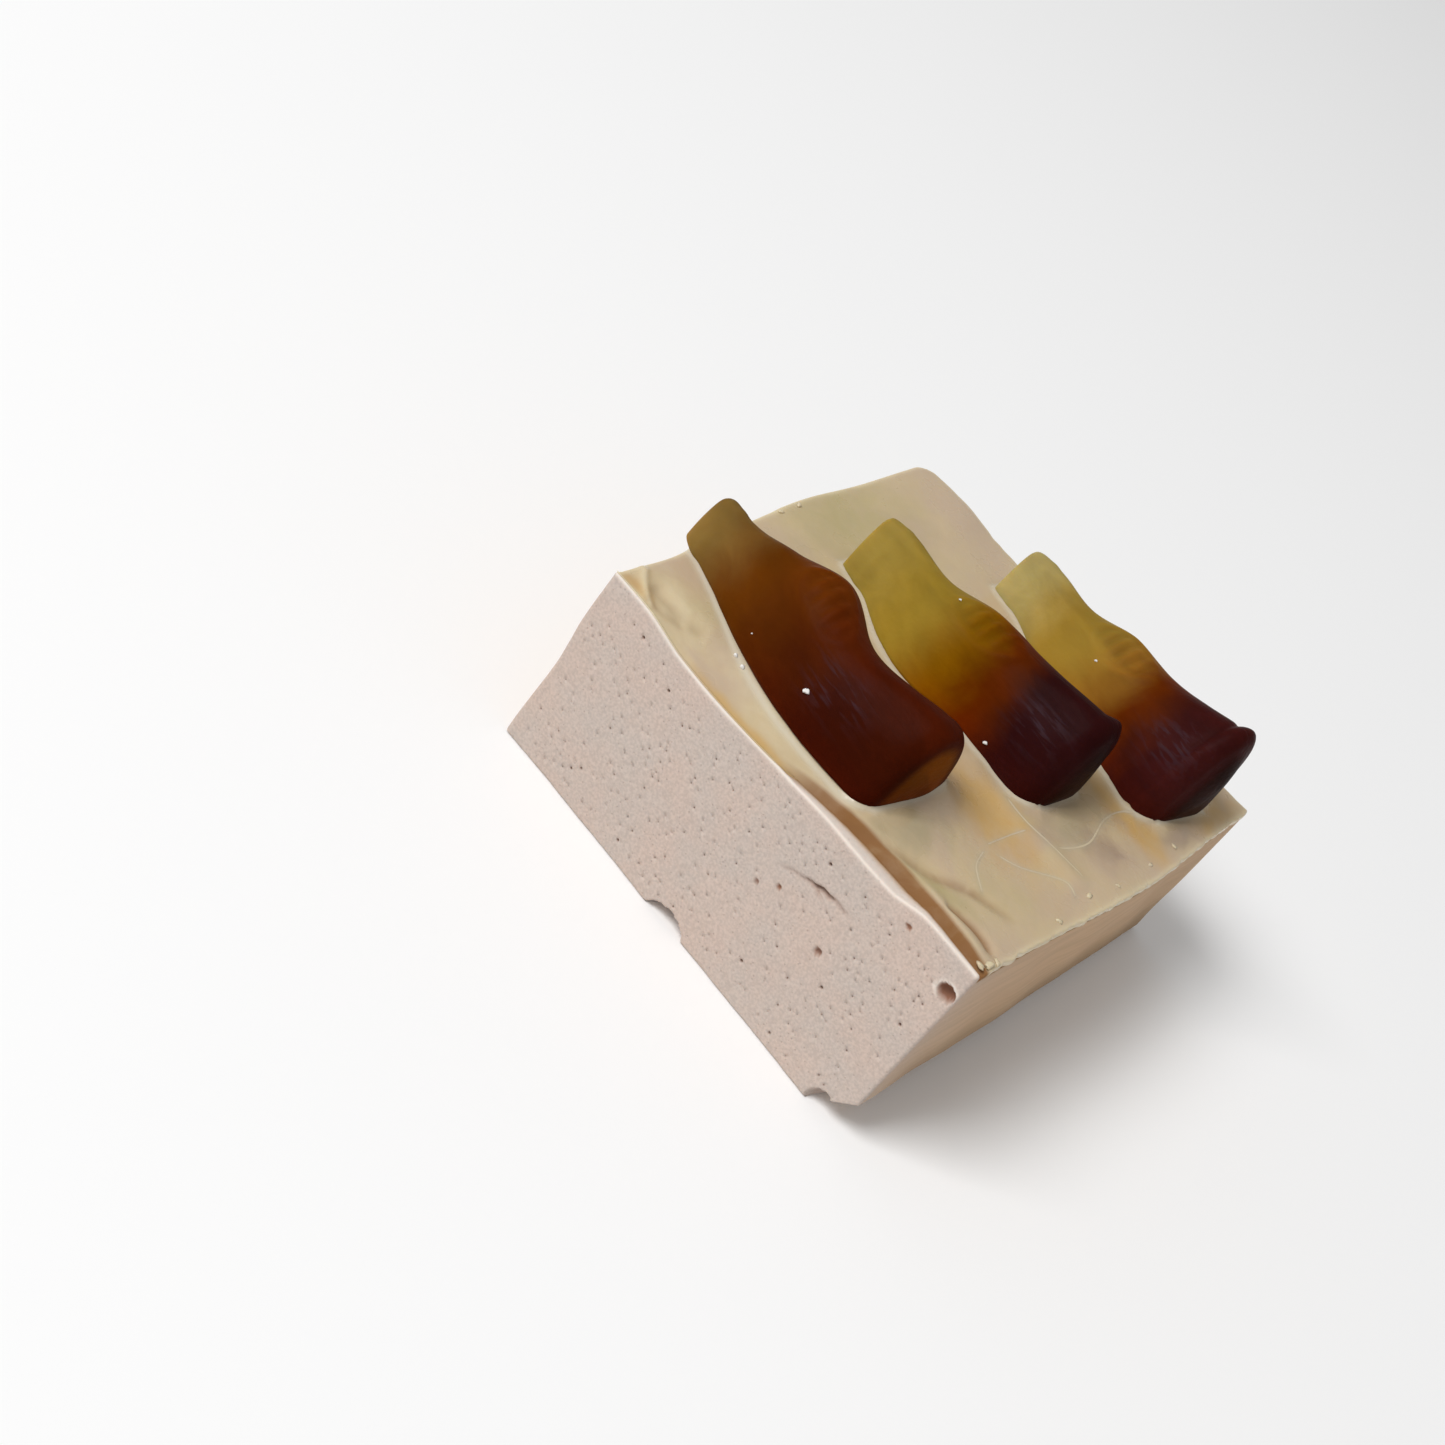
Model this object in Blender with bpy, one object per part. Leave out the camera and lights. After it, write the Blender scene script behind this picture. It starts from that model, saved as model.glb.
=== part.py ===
"""A hand-cut slab of marshmallow with a glossy icing on top and three gummy bottles pressed into it.

Sizes are in millimetres, in the slab's own corner frame: x from its left side, y from its front cut
face, z up from the base. place() turns them into metres about the middle of the base.
"""
import math

import bmesh
import bpy
from mathutils import Matrix, Vector

MM = 0.001
MIDDLE_X = 32.1
MIDDLE_Y = 35.77
GAP = 0.3

# The slab's corners. The knife left the front face and the right side, the other sides are moulded.
FRONT_LEFT_BASE = (0.6, 0.0)
FRONT_RIGHT_BASE = (64.2, -1.8)
BACK_LEFT_BASE = (-1.0, 73.0)
BACK_RIGHT_BASE = (64.5, 73.2)
FRONT_LEFT_TOP = (0.7, 0.6, 28.6)
FRONT_RIGHT_TOP = (63.8, 0.4, 28.9)
BACK_LEFT_TOP = (-1.0, 70.1, 28.2)
BACK_RIGHT_TOP = (64.5, 69.3, 27.5)
SLAB_WIDTH = FRONT_RIGHT_TOP[0] - FRONT_LEFT_TOP[0]
SLAB_DEPTH = BACK_LEFT_TOP[1] - FRONT_LEFT_TOP[1]

# The top outline bows out past its corners: (which side, where along it, how far round that, by how much).
BOWS = (("back", 0.5, 0.62, 1.7), ("left", 0.56, 0.2, -1.0), ("left", 0.15, 0.12, 0.5),
        ("right", 0.55, 0.28, 1.3))

# Height of the front top edge along x: it sags between its two corners and steps up near the right one.
FRONT_EDGE = ((0.0, 28.6), (7.4, 28.4), (13.3, 27.3), (21.8, 27.0), (31.9, 27.4), (38.2, 27.8),
              (50.5, 27.8), (55.0, 28.9), (64.0, 28.9))
SAG_REACH = 6.0
SWELL = 0.22

# The slab is a grid of lines along each axis, closer together where the form turns.
SIDE_LINES = 20
HEIGHT_LINES = 8
EDGE_ROUND = 0.8
EDGE_DRAW = 0.24
RIM_WIDTH = 1.2
RECESS_WALL = 0.65
FOLD_LINES = (2.6, 3.8, 5.2, 7.0, 9.2, 11.8)
BACK_STEP = 3.4
SIDE_WAVE = 0.35
CUT_WAVE = 0.12

# The icing lies in a shallow recess behind the front rim and runs out to the other three sides.
ICING_THICKNESS = 1.5
ICING_EDGE_DROP = 0.35
RECESS_FOLD = 0.4
FOLDS = (
    {"start": (36.0, 2.2), "end": (62.0, 3.4), "width": 1.5, "rise": 0.5},
    {"start": (38.5, 2.8), "end": (58.0, 13.3), "width": 1.8, "rise": -0.5},
    {"start": (3.5, 4.2), "end": (13.5, 7.4), "width": 1.9, "rise": -0.6},
    {"start": (40.0, 28.7), "end": (62.0, 28.1), "width": 2.4, "rise": 0.35},
    {"start": (49.0, 33.0), "end": (56.0, 48.0), "width": 2.6, "rise": -0.35},
)

# Damage to the slab. The right base edge is cut away on a slant that fades out towards the back.
SLANT_FRONT = 5.0
SLANT_BACK = 0.8
HOLLOW_FINENESS = 2
HOLLOWS = (
    {"name": "corner scoop", "at": (60.6, -2.4, 0.9), "size": (1.9, 3.2, 1.9)},
    {"name": "base nick", "at": (32.0, -1.4, -0.6), "size": (3.4, 3.6, 2.6)},
    {"name": "bubble", "at": (62.4, -0.5, 24.3), "size": (1.35, 2.0, 1.2)},
    {"name": "tear", "at": (43.9, -0.3, 20.5), "size": (2.6, 1.3, 0.35), "turn": 27.0},
    {"name": "pit", "at": (48.6, -0.9, 14.7), "size": (0.65, 1.2, 0.6)},
    {"name": "pit", "at": (54.3, -0.3, 26.4), "size": (0.55, 1.0, 0.55)},
    {"name": "pit", "at": (40.1, -0.7, 16.5), "size": (0.5, 1.0, 0.5)},
    {"name": "pit", "at": (37.7, -0.8, 14.6), "size": (0.45, 1.0, 0.45)},
)

# A gummy bottle lies on its flat back with its neck to the left. Stations run from the neck's tip (0)
# to the foot (1); each gummy has its own widths, heights and sideways sway there, as none is alike.
STATIONS = (0.0, 0.13, 0.29, 0.46, 0.66, 0.92, 1.0)
GUMMIES = (
    {"name": "gummy_front", "tip": (-0.6, 18.6), "foot": (41.8, 11.8), "bend": -1.3,
     "widths": (6.1, 6.5, 9.6, 14.8, 13.3, 15.6, 15.0), "heights": (7.5, 7.9, 10.3, 12.6, 10.8, 12.0, 11.8),
     "sway": (-0.5, -0.5, -0.4, 0.5, -1.0, 0.5, 0.5), "material": "gummy_front"},
    {"name": "gummy_middle", "tip": (10.2, 40.3), "foot": (50.6, 37.1), "bend": -1.0,
     "widths": (6.6, 7.0, 10.9, 15.7, 13.3, 14.2, 14.0), "heights": (9.1, 9.6, 9.8, 11.3, 11.5, 12.9, 13.3),
     "sway": (-0.3, -0.3, -1.5, -0.5, 0.4, 0.1, 0.1), "material": "gummy_middle"},
    {"name": "gummy_back", "tip": (21.1, 63.4), "foot": (60.4, 56.5), "bend": 0.0,
     "widths": (5.7, 6.1, 8.7, 13.2, 13.2, 14.6, 14.2), "heights": (8.1, 8.5, 8.8, 10.6, 11.4, 14.8, 16.6),
     "sway": (0.5, 0.5, -0.5, 0.5, 0.5, 0.0, 0.0), "material": "gummy_back"},
)
GUMMY_SINK = 0.7
GUMMY_LEAN = -0.08
TIP_LIFT = 0.6
TIP_ROUND = 2.9
TIP_CLOSE = 0.45
FOOT_ROUND = 2.2
FOOT_CLOSE = 0.72
HEIGHT_CLOSE = 0.5
SECTION_POWER = 3.0
SECTION_DRAFT = 0.28
SECTION_BELLY = 0.8
GUMMY_SECTIONS = 26
GUMMY_SIDES = 18
END_CROWDING = 0.55

COLOURS = {
    "marshmallow": ((0.53, 0.44, 0.39), 0.85),
    "icing": ((0.52, 0.42, 0.27), 0.3),
    "gummy_front": ((0.08, 0.02, 0.008), 0.35),
    "gummy_middle": ((0.2, 0.07, 0.01), 0.35),
    "gummy_back": ((0.24, 0.12, 0.02), 0.35),
}


def clear_scene():
    for old in list(bpy.data.objects):
        bpy.data.objects.remove(old, do_unlink=True)


def new_collection(name):
    group = bpy.data.collections.new(name)
    bpy.context.scene.collection.children.link(group)
    return group


def make_material(name):
    colour, roughness = COLOURS[name]
    material = bpy.data.materials.new(name)
    material.use_nodes = True
    shader = material.node_tree.nodes["Principled BSDF"]
    shader.inputs["Base Color"].default_value = (*colour, 1.0)
    shader.inputs["Roughness"].default_value = roughness
    shader.inputs["Metallic"].default_value = 0.0
    return material


def place(x, y, z):
    return Vector(((x - MIDDLE_X) * MM, (y - MIDDLE_Y) * MM, z * MM))


def mix(a, b, t):
    return a + (b - a) * t


def smooth(t):
    t = min(1.0, max(0.0, t))
    return t * t * (3.0 - 2.0 * t)


def along(points, values, at):
    """A smooth value between named points: it eases from one to the next."""
    if at <= points[0]:
        return values[0]
    for k in range(1, len(points)):
        if at <= points[k]:
            t = (at - points[k - 1]) / (points[k] - points[k - 1])
            before = values[max(k - 2, 0)]
            after = values[min(k + 1, len(values) - 1)]
            low = values[k - 1]
            high = values[k]
            pull_low = (high - before) * 0.5 if k > 1 else 0.0
            pull_high = (after - low) * 0.5 if k < len(points) - 1 else 0.0
            square = t * t
            cube = square * t
            return (low * (2 * cube - 3 * square + 1) + pull_low * (cube - 2 * square + t)
                    + high * (3 * square - 2 * cube) + pull_high * (cube - square))
    return values[-1]


def wave(x, y, seed):
    """Soft unevenness between -1 and 1, with crests about a finger's width apart."""
    return (math.sin(x * 0.21 + seed) * math.cos(y * 0.17 + 1.7 * seed)
            + 0.6 * math.sin(x * 0.43 + y * 0.31 + 2.3 * seed)) / 1.6


def fold_height(x, y):
    total = 0.0
    for fold in FOLDS:
        start = Vector(fold["start"])
        run = Vector(fold["end"]) - start
        t = min(1.0, max(0.0, (Vector((x, y)) - start).dot(run) / run.length_squared))
        away = (Vector((x, y)) - start - run * t).length / fold["width"]
        fade = smooth(4.0 * t) * smooth(4.0 * (1.0 - t))
        total += fold["rise"] * fade * math.exp(-away * away)
    return total


def top_height(x, y):
    """Height of the slab's finished top at (x, y), without the icing's folds."""
    u = (x - FRONT_LEFT_TOP[0]) / SLAB_WIDTH
    v = (y - FRONT_LEFT_TOP[1]) / SLAB_DEPTH
    front = mix(FRONT_LEFT_TOP[2], FRONT_RIGHT_TOP[2], u)
    back = mix(BACK_LEFT_TOP[2], BACK_RIGHT_TOP[2], u)
    level = mix(front, back, v) + SWELL * wave(x, y, 0.6) * smooth(v * 5.0)
    edge = along([p[0] for p in FRONT_EDGE], [p[1] for p in FRONT_EDGE], x)
    near = math.exp(-(max(y, 0.0) / SAG_REACH) ** 2)
    return mix(level, edge, near)


def across_lines():
    """Lines over the slab's width, as shares of it, with one close to each side."""
    rim = EDGE_ROUND / SLAB_WIDTH
    inner = [mix(rim, 1.0 - rim, k / SIDE_LINES) for k in range(SIDE_LINES + 1)]
    return [0.0] + inner + [1.0]


def depth_lines():
    """Lines over the slab's depth: the front rim, the recess wall, the folds, then even steps."""
    last = SLAB_DEPTH - EDGE_ROUND
    lines = [0.0, EDGE_ROUND, RIM_WIDTH, RIM_WIDTH + RECESS_WALL] + list(FOLD_LINES)
    steps = round((last - FOLD_LINES[-1]) / BACK_STEP)
    for k in range(1, steps + 1):
        lines.append(mix(FOLD_LINES[-1], last, k / steps))
    lines.append(SLAB_DEPTH)
    return [line / SLAB_DEPTH for line in lines]


def slab_xy(u, v, w):
    """The slab's plan at height share w: its base corners and top corners, mixed."""
    base_front = mix(Vector(FRONT_LEFT_BASE), Vector(FRONT_RIGHT_BASE), u)
    base_back = mix(Vector(BACK_LEFT_BASE), Vector(BACK_RIGHT_BASE), u)
    top_front = mix(Vector(FRONT_LEFT_TOP[:2]), Vector(FRONT_RIGHT_TOP[:2]), u)
    top_back = mix(Vector(BACK_LEFT_TOP[:2]), Vector(BACK_RIGHT_TOP[:2]), u)
    top = mix(top_front, top_back, v)
    for side, at, reach, out in BOWS:
        if side == "back":
            top.y += out * v * v * math.exp(-(abs(u - at) / reach) ** 6)
        elif side == "left":
            top.x += out * (1.0 - u) * math.exp(-((v - at) / reach) ** 2)
        else:
            top.x += out * u * math.exp(-((v - at) / reach) ** 2)
    return mix(mix(base_front, base_back, v), top, w)


def grid_cube(counts):
    """A cube primitive with the given number of strips along x, y and z."""
    mesh = bmesh.new()
    bmesh.ops.create_cube(mesh, size=1.0)
    for axis in range(3):
        edges = [e for e in mesh.edges if abs((e.verts[0].co - e.verts[1].co)[axis]) > 1e-6]
        bmesh.ops.subdivide_edges(mesh, edges=edges, cuts=counts[axis] - 1, use_grid_fill=True)
    return mesh


def finish(mesh, name, group, material):
    bmesh.ops.recalc_face_normals(mesh, faces=mesh.faces)
    data = bpy.data.meshes.new(name)
    mesh.to_mesh(data)
    mesh.free()
    if material:
        data.materials.append(make_material(material))
        data.shade_smooth()
        data.set_sharp_from_angle(angle=math.radians(40.0))
    piece = bpy.data.objects.new(name, data)
    group.objects.link(piece)
    return piece


def make_cutter(mesh, name, group):
    cutter = finish(mesh, name, group, None)
    cutter.hide_render = True
    cutter.display_type = "WIRE"
    return cutter


def cut(piece, cutter):
    step = piece.modifiers.new("cut " + cutter.name, "BOOLEAN")
    step.operation = "DIFFERENCE"
    step.solver = "EXACT"
    step.object = cutter


def marshmallow_point(u, v, w, extremes):
    """A point of the slab's skin; its edges are drawn in a little, so that they are soft."""
    on_edge = extremes > 1
    soft = EDGE_DRAW if on_edge else 0.0
    x, y = slab_xy(u, v, w)
    if on_edge:
        x = mix(x, MIDDLE_X, soft / MIDDLE_X)
        y = mix(y, MIDDLE_Y, soft / MIDDLE_Y)
    height = top_height(x, y)
    in_recess = v * SLAB_DEPTH > RIM_WIDTH + RECESS_WALL / 2.0
    if w == 1.0:
        if in_recess:
            height += fold_height(x, y) * RECESS_FOLD - ICING_THICKNESS - GAP
        return x, y, height - soft
    if w == 0.0:
        z = soft
    else:
        z = w * (height - ICING_THICKNESS - GAP)
    bulge = SIDE_WAVE * math.sin(math.pi * w)
    if v == 0.0:
        y += CUT_WAVE * wave(x, z * 2.0, 2.0)
    if v == 1.0:
        y += bulge * wave(x, z, 3.1)
    if u == 0.0:
        x += bulge * wave(y, z, 4.4)
    if u == 1.0:
        x += bulge * wave(y, z, 5.2) * smooth(v * 6.0)
    return x, y, z


def build_marshmallow(group, cutters):
    us = across_lines()
    vs = depth_lines()
    ws = [k / HEIGHT_LINES for k in range(HEIGHT_LINES + 1)]
    counts = (len(us) - 1, len(vs) - 1, len(ws) - 1)
    mesh = grid_cube(counts)
    for vert in mesh.verts:
        index = [round((vert.co[a] + 0.5) * counts[a]) for a in range(3)]
        extremes = sum(1 for a in range(3) if index[a] in (0, counts[a]))
        point = marshmallow_point(us[index[0]], vs[index[1]], ws[index[2]], extremes)
        vert.co = place(*point)
    piece = finish(mesh, "marshmallow", group, "marshmallow")
    cut(piece, build_slant(cutters))
    for number, hollow in enumerate(HOLLOWS):
        cut(piece, build_hollow(hollow, number, cutters))
    return piece


def build_slant(cutters):
    """A block whose face runs through the slanted cut along the right base edge."""
    front_in = place(FRONT_RIGHT_BASE[0] - SLANT_FRONT, FRONT_RIGHT_BASE[1], 0.0)
    front_up = place(FRONT_RIGHT_BASE[0], FRONT_RIGHT_BASE[1], SLANT_FRONT)
    back_in = place(BACK_RIGHT_BASE[0] - SLANT_BACK, BACK_RIGHT_BASE[1], 0.0)
    run = (back_in - front_in).normalized()
    normal = (front_up - front_in).cross(run).normalized()
    if normal.x < 0.0:
        normal.negate()
    side = run.cross(normal)
    turn = Matrix((side, run, normal)).transposed().to_4x4()
    length = 3.0 * SLAB_DEPTH * MM
    thick = SLAB_WIDTH * MM / 3.0
    mesh = bmesh.new()
    bmesh.ops.create_cube(mesh, size=1.0)
    bmesh.ops.scale(mesh, vec=(thick * 2.0, length, thick), verts=mesh.verts)
    move = Matrix.Translation(front_in + normal * (thick / 2.0)) @ turn
    bmesh.ops.transform(mesh, matrix=move, verts=mesh.verts)
    return make_cutter(mesh, "slant", cutters)


def build_hollow(hollow, number, cutters):
    mesh = bmesh.new()
    bmesh.ops.create_icosphere(mesh, subdivisions=HOLLOW_FINENESS, radius=1.0)
    bmesh.ops.scale(mesh, vec=Vector(hollow["size"]) * MM, verts=mesh.verts)
    turn = Matrix.Rotation(-math.radians(hollow.get("turn", 0.0)), 4, "Y")
    move = Matrix.Translation(place(*hollow["at"])) @ turn
    bmesh.ops.transform(mesh, matrix=move, verts=mesh.verts)
    return make_cutter(mesh, hollow["name"] + " " + str(number), cutters)


def build_icing(group):
    """The icing's sheet: a grid whose upper side carries the folds and whose lower side fits the recess."""
    us = across_lines()[1:-1]
    vs = depth_lines()[3:-1]
    counts = (len(us) - 1, len(vs) - 1, 1)
    mesh = grid_cube(counts)
    for vert in mesh.verts:
        index = [round((vert.co[a] + 0.5) * counts[a]) for a in range(3)]
        x, y = slab_xy(us[index[0]], vs[index[1]], 1.0)
        on_rim = index[0] in (0, counts[0]) or index[1] in (0, counts[1])
        z = top_height(x, y)
        if index[2]:
            z += fold_height(x, y)
            if on_rim:
                z -= ICING_EDGE_DROP
        else:
            z += fold_height(x, y) * RECESS_FOLD - ICING_THICKNESS
        vert.co = place(x, y, z)
    return finish(mesh, "icing", group, "icing")


def round_end(distance, reach, smallest):
    """How far an end has closed in, on a quarter circle over its last stretch."""
    if distance >= reach:
        return 1.0
    return mix(smallest, 1.0, math.sqrt(1.0 - (1.0 - distance / reach) ** 2))


def gummy_section(gummy, share, length, grow):
    """One closed section of a gummy: flat below, rounded above and drawn in towards the top."""
    half = along(STATIONS, gummy["widths"], share) / 2.0
    tall = along(STATIONS, gummy["heights"], share)
    shift = along(STATIONS, gummy["sway"], share) + 4.0 * gummy["bend"] * share * (1.0 - share)
    from_tip = share * length
    from_foot = length - from_tip
    close = round_end(from_tip, TIP_ROUND, TIP_CLOSE) * round_end(from_foot, FOOT_ROUND, FOOT_CLOSE)
    half = half * close + grow
    tall = tall * mix(1.0, close, HEIGHT_CLOSE) + grow
    points = []
    for k in range(GUMMY_SIDES):
        angle = 2.0 * math.pi * (k + 0.5) / GUMMY_SIDES
        side = math.copysign(abs(math.cos(angle)) ** (2.0 / SECTION_POWER), math.cos(angle))
        lift = abs(math.sin(angle)) ** (2.0 / SECTION_POWER)
        if math.sin(angle) > 0.0:
            across = half * side * (1.0 - SECTION_DRAFT * lift)
            up = SECTION_BELLY + (tall - SECTION_BELLY) * lift
        else:
            across = half * side
            up = SECTION_BELLY - (SECTION_BELLY + grow) * lift
        turned = across * math.cos(GUMMY_LEAN) - up * math.sin(GUMMY_LEAN)
        raised = across * math.sin(GUMMY_LEAN) + up * math.cos(GUMMY_LEAN)
        points.append((shift + turned, raised))
    return points


def gummy_mesh(gummy, grow):
    """A loft through the gummy's sections, closed by a flat cap at each end."""
    tip = Vector(gummy["tip"])
    run = Vector(gummy["foot"]) - tip
    length = run.length
    way = run.normalized()
    side = Vector((-way.y, way.x))
    middle = tip + run * 0.5
    seat = top_height(middle.x, middle.y) - GUMMY_SINK
    mesh = bmesh.new()
    rings = []
    for n in range(GUMMY_SECTIONS):
        even = n / (GUMMY_SECTIONS - 1)
        share = mix(even, 0.5 - 0.5 * math.cos(math.pi * even), END_CROWDING)
        extend = grow * (2.0 * even - 1.0)
        ring = []
        for across, up in gummy_section(gummy, share, length, grow):
            spot = tip + way * (share * length + extend) + side * across
            ring.append(mesh.verts.new(place(spot.x, spot.y, seat + up + TIP_LIFT * (1.0 - share))))
        rings.append(ring)
    for low, high in zip(rings, rings[1:]):
        for k in range(GUMMY_SIDES):
            after = (k + 1) % GUMMY_SIDES
            mesh.faces.new((low[k], low[after], high[after], high[k]))
    mesh.faces.new(rings[0])
    mesh.faces.new(list(reversed(rings[-1])))
    return mesh


def build():
    clear_scene()
    group = new_collection("marshmallow_slab")
    cutters = new_collection("cutters")
    build_marshmallow(group, cutters)
    icing = build_icing(group)
    for gummy in GUMMIES:
        cut(icing, make_cutter(gummy_mesh(gummy, GAP), gummy["name"] + " seat", cutters))
        finish(gummy_mesh(gummy, 0.0), gummy["name"], group, gummy["material"])


build()
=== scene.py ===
"""A hand-cut slab of marshmallow with a glossy marbled icing and three gummy bottles pressed into it.

Sizes are in millimetres, in the slab's own corner frame: x from its left side, y from its front cut
face, z up from the base. place() turns them into metres about the middle of the base.
"""
import math

import bmesh
import bpy
import numpy as np
from mathutils import Matrix, Vector, noise


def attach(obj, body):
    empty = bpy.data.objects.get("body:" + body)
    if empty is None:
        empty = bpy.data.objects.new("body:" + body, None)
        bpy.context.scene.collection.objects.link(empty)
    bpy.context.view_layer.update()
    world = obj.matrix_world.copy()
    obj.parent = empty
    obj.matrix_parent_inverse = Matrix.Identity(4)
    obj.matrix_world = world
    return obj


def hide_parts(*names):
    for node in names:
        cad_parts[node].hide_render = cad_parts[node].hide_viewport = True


bl_info = {
    "name": "Marshmallow Slab",
    "version": (1, 0, 0),
    "blender": (4, 5, 0),
    "location": "View3D > Sidebar > Marshmallow",
    "description": "Builds a slab of marshmallow with marbled icing and gummy bottles on top",
    "category": "Object",
}

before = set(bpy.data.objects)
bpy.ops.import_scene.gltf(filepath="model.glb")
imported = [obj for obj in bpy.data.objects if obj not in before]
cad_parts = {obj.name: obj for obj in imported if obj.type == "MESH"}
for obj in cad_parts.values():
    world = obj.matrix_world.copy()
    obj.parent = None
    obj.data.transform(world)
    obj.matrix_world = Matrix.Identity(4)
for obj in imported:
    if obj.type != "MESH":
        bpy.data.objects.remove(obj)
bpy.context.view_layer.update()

MM = 0.001
MIDDLE_X = 32.1
MIDDLE_Y = 35.77

# The slab's corners, the bows of its top outline and the height of its front top edge.
FRONT_LEFT_BASE = (0.6, 0.0)
FRONT_RIGHT_BASE = (64.2, -1.8)
BACK_LEFT_BASE = (-1.0, 73.0)
BACK_RIGHT_BASE = (64.5, 73.2)
FRONT_LEFT_TOP = (0.7, 0.6, 28.6)
FRONT_RIGHT_TOP = (63.8, 0.4, 28.9)
BACK_LEFT_TOP = (-1.0, 70.1, 28.2)
BACK_RIGHT_TOP = (64.5, 69.3, 27.5)
SLAB_WIDTH = FRONT_RIGHT_TOP[0] - FRONT_LEFT_TOP[0]
SLAB_DEPTH = BACK_LEFT_TOP[1] - FRONT_LEFT_TOP[1]
SLAB_HEIGHT = 28.3
BASE_CORNERS = (FRONT_LEFT_BASE, FRONT_RIGHT_BASE, BACK_LEFT_BASE, BACK_RIGHT_BASE)
TOP_CORNERS = (FRONT_LEFT_TOP, FRONT_RIGHT_TOP, BACK_LEFT_TOP, BACK_RIGHT_TOP)
BACK_BOW = (0.5, 0.62, 1.7)
LEFT_BOWS = ((0.56, 0.2, -1.0), (0.15, 0.12, 0.5))
RIGHT_BOW = (0.55, 0.28, 1.3)
FRONT_EDGE = ((0.0, 28.6), (7.4, 28.4), (13.3, 27.3), (21.8, 27.0), (31.9, 27.4), (38.2, 27.8),
              (50.5, 27.8), (55.0, 28.9), (64.0, 28.9))
SAG_REACH = 6.0
SWELL = 0.22
SIDE_WAVE = 0.35
SIDE_STREAKS = (0.91, 1.03)
CUT_WAVE = 0.12
SLANT_FRONT = 5.0
SLANT_BACK = 0.8

# The grid of lines that the slab's mesh is drawn on, as strips along x, y and z.
SLAB_CUTS = ((14, 15), (6, 8), (8, 12))
SLAB_ROUND = 0.42
SLAB_FRONT_LINES = (0.14, 0.28, 0.42, 0.65, 0.9, 1.15, 1.4, 1.65, 1.9, 2.15, 2.4, 2.65, 2.9, 3.15, 3.45)
CORNER_ROUND = 3.0
EDGE_LINES = (0.14, 0.28, 0.42)

# Hollows in the front face: middle (x, y, z), half sizes, how stained, and how pale their rim is.
# Tears in it: lines of points as x, z and depth.
# The stain of the hollows and the tears is partly reddish brown and partly painted shade inside them.
HOLLOWS = (
    {"name": "corner scoop", "at": (60.6, -2.4, 0.9), "size": (1.9, 3.2, 1.9), "stain": 0.15},
    {"name": "base nick", "at": (32.0, -1.4, -0.6), "size": (3.4, 3.6, 2.6), "stain": 0.1},
    {"name": "bubble", "at": (62.4, -0.5, 24.3), "size": (1.35, 2.0, 1.2), "stain": 1.0, "rim": 1.0},
    {"name": "large pit", "at": (48.6, -0.9, 14.7), "size": (0.65, 1.2, 0.6), "stain": 0.8},
    {"name": "upper pit", "at": (54.3, -0.3, 26.4), "size": (0.55, 1.0, 0.55), "stain": 1.0},
    {"name": "middle pit", "at": (40.1, -0.7, 16.5), "size": (0.5, 1.0, 0.5), "stain": 1.0},
    {"name": "left pit", "at": (37.7, -0.8, 14.6), "size": (0.45, 1.0, 0.45), "stain": 0.7},
)
TEARS = (
    ((38.6, 18.6, 0.1), (40.0, 19.4, 0.3), (41.3, 19.8, 0.25), (42.4, 20.3, 0.6), (43.4, 20.5, 1.0),
     (44.3, 20.9, 1.3), (45.3, 20.9, 0.9), (46.2, 21.2, 0.4), (47.4, 21.1, 0.4), (48.6, 21.2, 0.1)),
    ((43.4, 20.5, 0.6), (44.2, 20.0, 0.4), (45.0, 20.0, 0.1)),
)
TEAR_WIDTH = 0.21
HOLLOW_REACH = 4.5

# Pores: how many, radius from and to, depth, the narrow step inside the mouth, and how stained.
# The stain of the pores is partly reddish brown and partly painted shade inside them.
PORE_SIZES = (
    {"number": 170, "radius": (0.05, 0.1), "depth": 0.18, "step": 0.02, "stain": 0.4},
    {"number": 75, "radius": (0.1, 0.16), "depth": 0.3, "step": 0.03, "stain": 0.65},
    {"number": 10, "radius": (0.2, 0.27), "depth": 0.5, "step": 0.05, "stain": 0.8},
)
PORE_SEED = 7
PORE_MARGIN = 7
PORE_TRIES = 40

# The icing lies in a bed behind the front lip and runs out to the other three sides.
RIM_WIDTHS = ((30.0, 1.0), (37.0, 1.1), (42.0, 1.7), (47.0, 2.0), (50.5, 1.9), (54.0, 1.2), (58.0, 0.8),
              (64.0, 0.5))
BED_WALL = 0.65
BED_DEPTH = 1.45
ICING_THICKNESS = 1.5
ICING_CUTS = ((10, 17), (10, 19), (6,))
ICING_ROUND = 0.28
FLOW_FROM = 29.0
FLOW_TO = 37.0
FLOW_DEPTH = 0.5
ICING_EDGE_LINES = (0.1, 0.2, 0.28)
ICING_FRONT_LINES = tuple(0.1 + 0.22 * k for k in range(64))
ICING_RISES = (0.0, 0.5, 1.0, 1.22, 1.32, 1.42, ICING_THICKNESS)

# Soft swells of the icing: rise, middle x and y, and how far they reach along x and y.
ICING_SWELLS = (
    (0.5, 45.0, 9.5, 3.4, 5.0),
    (1.7, 42.6, 19.0, 2.0, 2.9),
    (0.35, 54.0, 36.0, 3.0, 4.6),
    (0.3, 62.0, 53.0, 2.0, 3.4),
)
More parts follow.
